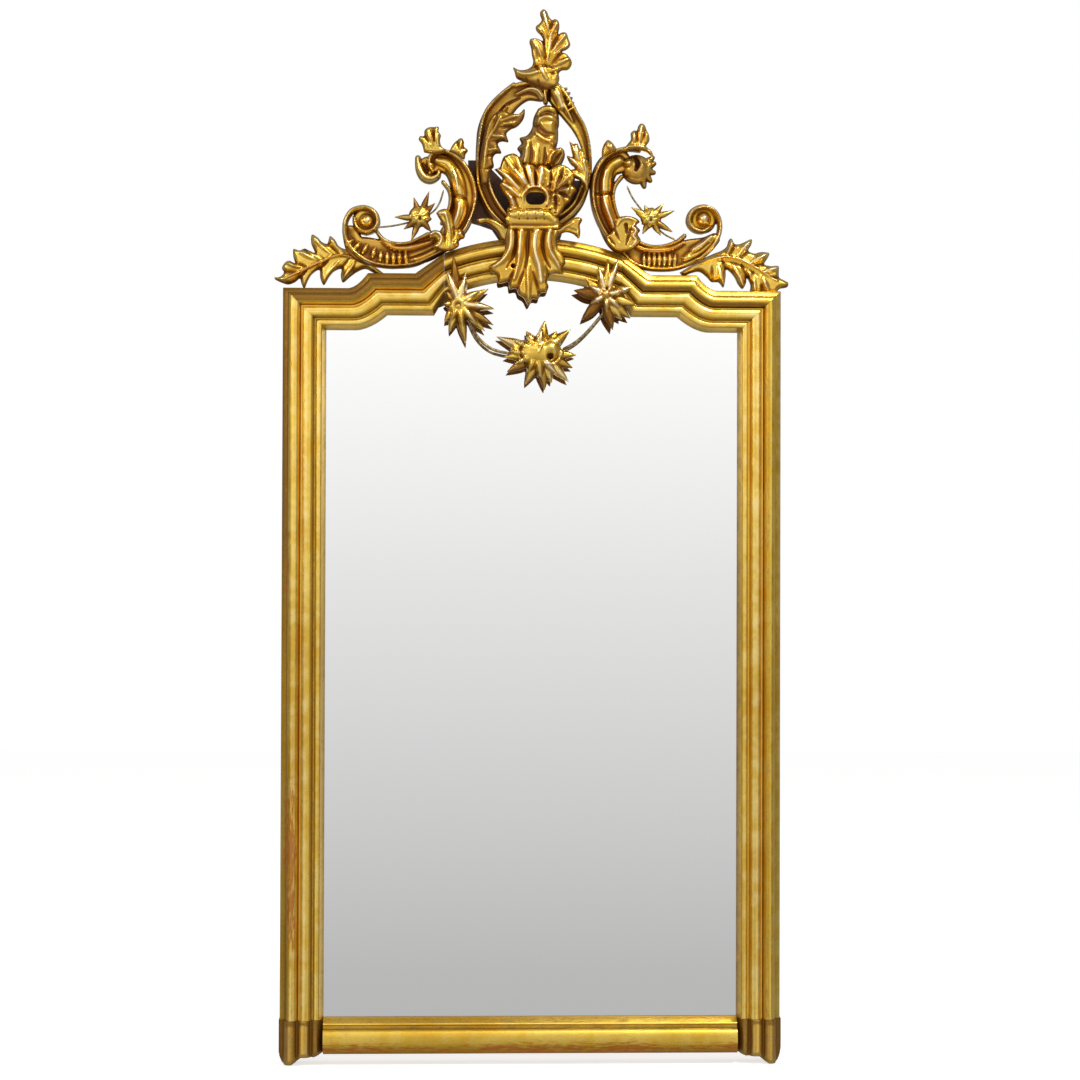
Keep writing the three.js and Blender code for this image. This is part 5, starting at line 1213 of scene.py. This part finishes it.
work = Carving(*SHOULDERS, (676, 232), (794, 298))
work.blank([(680, 272), (690, 266), (700, 260), (712, 254), (722, 250), (727, 246), (729, 240),
            (731.8, 237.8), (735, 243), (740, 243.5), (746, 241), (752, 238.6), (752, 244),
            (749, 250), (755, 253), (761, 251.5), (769.8, 252.5), (768, 258), (765, 263.5),
            (771, 265.5), (779, 265.5), (779.5, 271), (780, 277), (785, 280), (790.3, 283.2),
            (787, 287), (780, 288.5), (776.5, 293), (769, 293.5), (763, 293.5), (756, 292.5),
            (750.5, 292), (751, 285), (747.5, 277.5), (746.5, 283), (743, 288.5), (738.5, 284),
            (735, 277), (730, 271), (726.5, 269.5), (726, 278), (723.8, 287), (719, 282),
            (712, 281.5), (707, 276.5), (700, 271.5), (692, 272.5), (684, 275.5)], 17, 5, tone=0.05)
veins(work, [((735, 244), (729, 256)), ((749, 250.5), (741, 258)), ((765, 264), (755, 266)),
             ((726.5, 270), (722, 260)), ((747.5, 278), (741, 264)), ((779.5, 278), (770, 277)),
             ((751, 286), (753, 272)), ((762, 292), (762, 277)), ((712, 279), (712, 266))], 5, 2.6)
lights(work, [((732, 240), (727, 254)), ((749, 241), (738, 256)), ((767, 254.5), (750, 263)),
              ((777, 267.5), (764, 272)), ((723, 284), (718, 266)), ((743, 286), (733, 265)),
              ((755, 290), (748, 270)), ((768, 291), (760, 276))], 6.5, 4.2, 0.35)
# Painted highlight along the midrib, painted shade below it and on the tip.
work.model([(686, 269, 1, 2), (698, 264.5, 1.5, 4), (712, 259.6, 1.9, 6), (724, 257.2, 2, 7),
            (738, 259, 2, 7), (752, 265.6, 1.9, 6), (766, 274.5, 1.6, 5), (777, 281, 1.2, 3)],
           tone=0.25)
work.model([(718, 262, 2, -1), (732, 263, 2.4, -3), (746, 268, 2.4, -3), (758, 276, 2, -2)],
           tone=-0.4)
work.model([(790, 284, 3, 0), (783, 287, 2.5, 0)], tone=-1)
work.solid("right_side_leaf", "side_leaf_right", carving_gilt, thickness=16)

# ---------------------------------------------------------------- rosettes
# Two round rosettes with pointed sepals, held clear of the scrolls on bronzed wires.
ROSETTES = 58.9, 68
ROSETTE_WIRE = 56.6, 1.8  # mm: its depth in front of the wall and its radius


def wire(name, node, points, depth, radius):
    """A round wire along pattern points, at one depth."""
    path = np.array([at(c, r, depth) for c, r, *_ in curve([(*p, 1, 1) for p in points], 3)])
    sections = []
    for k, (x, z) in enumerate(path):
        ahead, behind = path[min(k + 1, len(path) - 1)], path[max(k - 1, 0)]
        d = (ahead - behind) / max(1e-6, math.hypot(*(ahead - behind)))
        thin = radius * (0.35 if k in (0, len(path) - 1) else 1)
        sections.append([((x - thin * math.cos(t) * d[1]) * MM, (-depth + thin * math.sin(t)) * MM,
                          (z + thin * math.cos(t) * d[0]) * MM)
                         for t in [math.pi * n / 5 for n in range(10)]])
    bm = bmesh.new()
    loft(bm, sections)
    piece(name, bm, node, [bronzed])


f = Finish("bronzed_iron_wire")
rub = f.ease(f.noise(f.place(), 150, 4, 0.65), 0.4, 0.65)
bronzed = f.surface(f.node("ShaderNodeBsdfPrincipled", None, {
    "Base Color": f.mix(rub, (0.16, 0.10, 0.045, 1), (0.46, 0.34, 0.17, 1)), "Metallic": 0.8,
    "Roughness": 0.5 - rub * 0.15,
    "Normal": f.node("ShaderNodeBump", None, {"Strength": 0.4, "Distance": 0.0006, "Height": rub})}))
wire("left_rosette_wire", "rosette_wire_left", [(375, 227.5), (392, 226), (410, 222), (430, 214),
                                                (439, 204), (443.6, 190)], *ROSETTE_WIRE)
wire("right_rosette_wire", "rosette_wire_right", [(627, 186), (632, 197), (640, 208), (652, 222),
                                                  (664, 234), (678, 241)], *ROSETTE_WIRE)


def petals(work, centre, tips, lift, half, tone, droop=0.5, gouge="petal"):
    """A row of pointed petals from a centre to their tips; a third number paints light and shade on one
    petal: lighter above zero, darker below.
    """
    for column, row, *shade in tips:
        reach = math.hypot(column - centre[0], row - centre[1])
        c, s = (column - centre[0]) / reach, (row - centre[1]) / reach
        work.stroke([(centre[0] + 3 * c, centre[1] + 3 * s, half * 0.75, lift * 0.8),
                     (centre[0] + reach * 0.5 * c, centre[1] + reach * 0.5 * s, half, lift),
                     (centre[0] + reach * 0.8 * c, centre[1] + reach * 0.8 * s, half * 0.55,
                      lift * (droop + 1) / 2), (column, row, 0.4, lift * droop)], gouge,
                    tone=sum(shade) + tone)


for name, node, first, last, centre, sepals, half, tone in (
        ("left_rosette_bloom", "rosette_left", (390, 188), (440, 244), (420, 217.5),
         [(414, 197.6, -0.4), (428.8, 191.6, -0.2), (434.5, 203, -0.3), (395, 216.5, 0.1),
          (404, 228.5, 0.1), (411.6, 239.5, 0.1), (431, 231, 0.2)], 10.8, -0.3),
        ("right_rosette_bloom", "rosette_right", (627, 198), (680, 240), (651, 218.5),
         [(632, 207, 0.5), (636.5, 213, 0.4), (645, 205, 0.1), (663.5, 203.5, 0.1),
          (674.3, 210.3, 0.1), (672.5, 231.3, -0.1), (661, 234.8, 0.2), (643, 233, 0.0)],
         9.8, 0.0)):
    work = Carving(*ROSETTES, first, last)
    petals(work, centre, sepals, 9, 3.2, tone - 0.5)
    work.stroke([(centre[0] - 0.6, centre[1] - 1.6, half, 13)], tone=tone - 0.3)
    for rings, reach, high, turned in ((8, 1.08, 13, 10), (6, 0.8, 15.5, 30), (4, 0.5, 17.5, 50)):
        row = [(centre[0] + half * reach * math.cos(a), centre[1] - 1 + half * reach * math.sin(a))
               for a in [math.radians(turned + 360 / rings * k) for k in range(rings)]]
        petals(work, centre, row, high, half * 0.36, tone, 0.35, "blade")
    # Painted shade in the centre's hollow and on the bloom's lower side.
    work.model([(centre[0], centre[1] + 1.5, 3, -5)], tone=-0.8)
    work.model([(centre[0] - half, centre[1] + half * 0.6, 6, 0),
                (centre[0] + half, centre[1] + half * 0.8, 6, 0)], tone=-0.5)
    work.solid(name, node, carving_gilt, thickness=10)

# ---------------------------------------------------------------- garland
# Three starry flowers, each of two rows of pointed petals round a cup, hung on bronzed stems in
# front of the plate.
GARLAND = 74.6, 90
GARLAND_STEM = 71.3, 2.9  # mm: as for the rosettes' wires
wire("left_garland_stem", "garland_stem_left", [(468, 318), (477, 336), (490, 348), (506, 353),
                                                (520, 354)], *GARLAND_STEM)
wire("right_garland_stem", "garland_stem_right", [(612, 302), (600, 317), (588, 331), (576, 342),
                                                  (562, 350)], *GARLAND_STEM)

work = Carving(*GARLAND, (440, 250), (499, 347))
petals(work, (458, 304), [(488, 288.5, 0.2), (493, 324, -0.8), (484.5, 330, -0.1),
                          (465.8, 342.6, -0.5), (449.5, 331, -0.1), (444.6, 320.5),
                          (443.6, 303, -0.4), (446, 290, -0.7), (453.5, 254.5, -0.9)], 14, 4.8,
       -0.1)
petals(work, (459, 303), [(447.3, 270.2, 0.6), (466, 271.5, 0.5), (480, 290, 0.2), (494, 308, 0.5),
                          (478, 325, 0.2), (463, 329, -0.1), (450, 322, -0.1), (448.5, 310, -0.4)],
       24, 4.6, 0.1)
work.stroke([(458, 304.5, 8.6, 27)], tone=-0.2)
# Painted shade in the cup and a painted highlight on its boss.
work.model([(457.8, 305, 7, -11)], tone=-0.8)
work.model([(458, 306, 3, 4)], tone=0.3)
work.solid("left_garland_bloom", "garland_flower_left", carving_gilt, thickness=12)

work = Carving(*GARLAND, (492, 316), (582, 393))
petals(work, (541, 353), [(545, 320.4, 0.3), (570.4, 329), (576, 354.5, 0.1), (572.5, 367, -0.7),
                          (568.6, 380.8, 0.5), (552, 382, 0.4), (545, 388.6, -0.7),
                          (526.2, 383.6, -0.5), (507.6, 371, -0.8), (504.6, 356.5, 0.2),
                          (497, 336.3, 0.6), (526.5, 330.8, -0.4), (557, 331, 0.0)], 15, 5.8, -0.05)
work.stroke([(520, 349, 9.5, 18), (530, 352, 13, 25), (543, 353, 15, 26)], tone=-0.1)
petals(work, (537, 353), [(514, 340, -0.3), (511, 352, -0.2), (516, 363), (528, 372, 0.1),
                          (541, 377, 0.3), (557, 374, 0.6), (542, 328, 0.5), (528, 335, 0.1)], 26,
       5.4, 0.0, 0.65)
work.stroke([(549.5, 350, 12, 29)], tone=0.15)
# Painted highlights on the inner petals, painted shade in the cup and the left hollow.
work.model([(539, 352, 2, 2), (543, 342.5, 2.6, 4), (551, 338.8, 2.6, 4), (559.5, 343.5, 2.6, 4),
            (561.5, 353, 2.4, 4), (556, 362.5, 2.4, 3), (546, 363.5, 2, 2)], tone=0.5)
work.model([(550.4, 353, 6, -5)], tone=-0.2)
work.model([(550.4, 356.4, 4.4, -14)], tone=-1)
work.model([(524, 343, 2, -3), (520, 352, 2.4, -5), (526, 364, 2, -4)], tone=-0.5)
work.solid("middle_garland_bloom", "garland_flower_middle", carving_gilt, thickness=14)

work = Carving(*GARLAND, (570, 251), (642, 333))
petals(work, (605, 296), [(574.6, 289.6, -1), (583, 318.8, -1), (613, 328.5, -1),
                          (630.5, 317.5, -0.6), (637, 304.5, -0.3), (622, 318.4, 0.4),
                          (631.5, 286.8, 0.5), (586, 277.6, 0.2)], 14, 5.6, 0.0)
petals(work, (606, 295), [(618.8, 258.3, 0.6), (598.2, 264, 0.5), (608.6, 257.2, -0.1),
                          (626, 290, 0.6), (621, 309, 0.5), (591, 303, 0.4), (589, 285, 0.5),
                          (607, 312, 0.2)], 25, 4.2, 0.2)
work.stroke([(606, 294, 6.5, 27)], amber=0.5)
# Painted shade in the cup.
work.model([(607, 288, 2.6, -6)], tone=-0.6)
work.solid("right_garland_bloom", "garland_flower_right", carving_gilt, thickness=12)
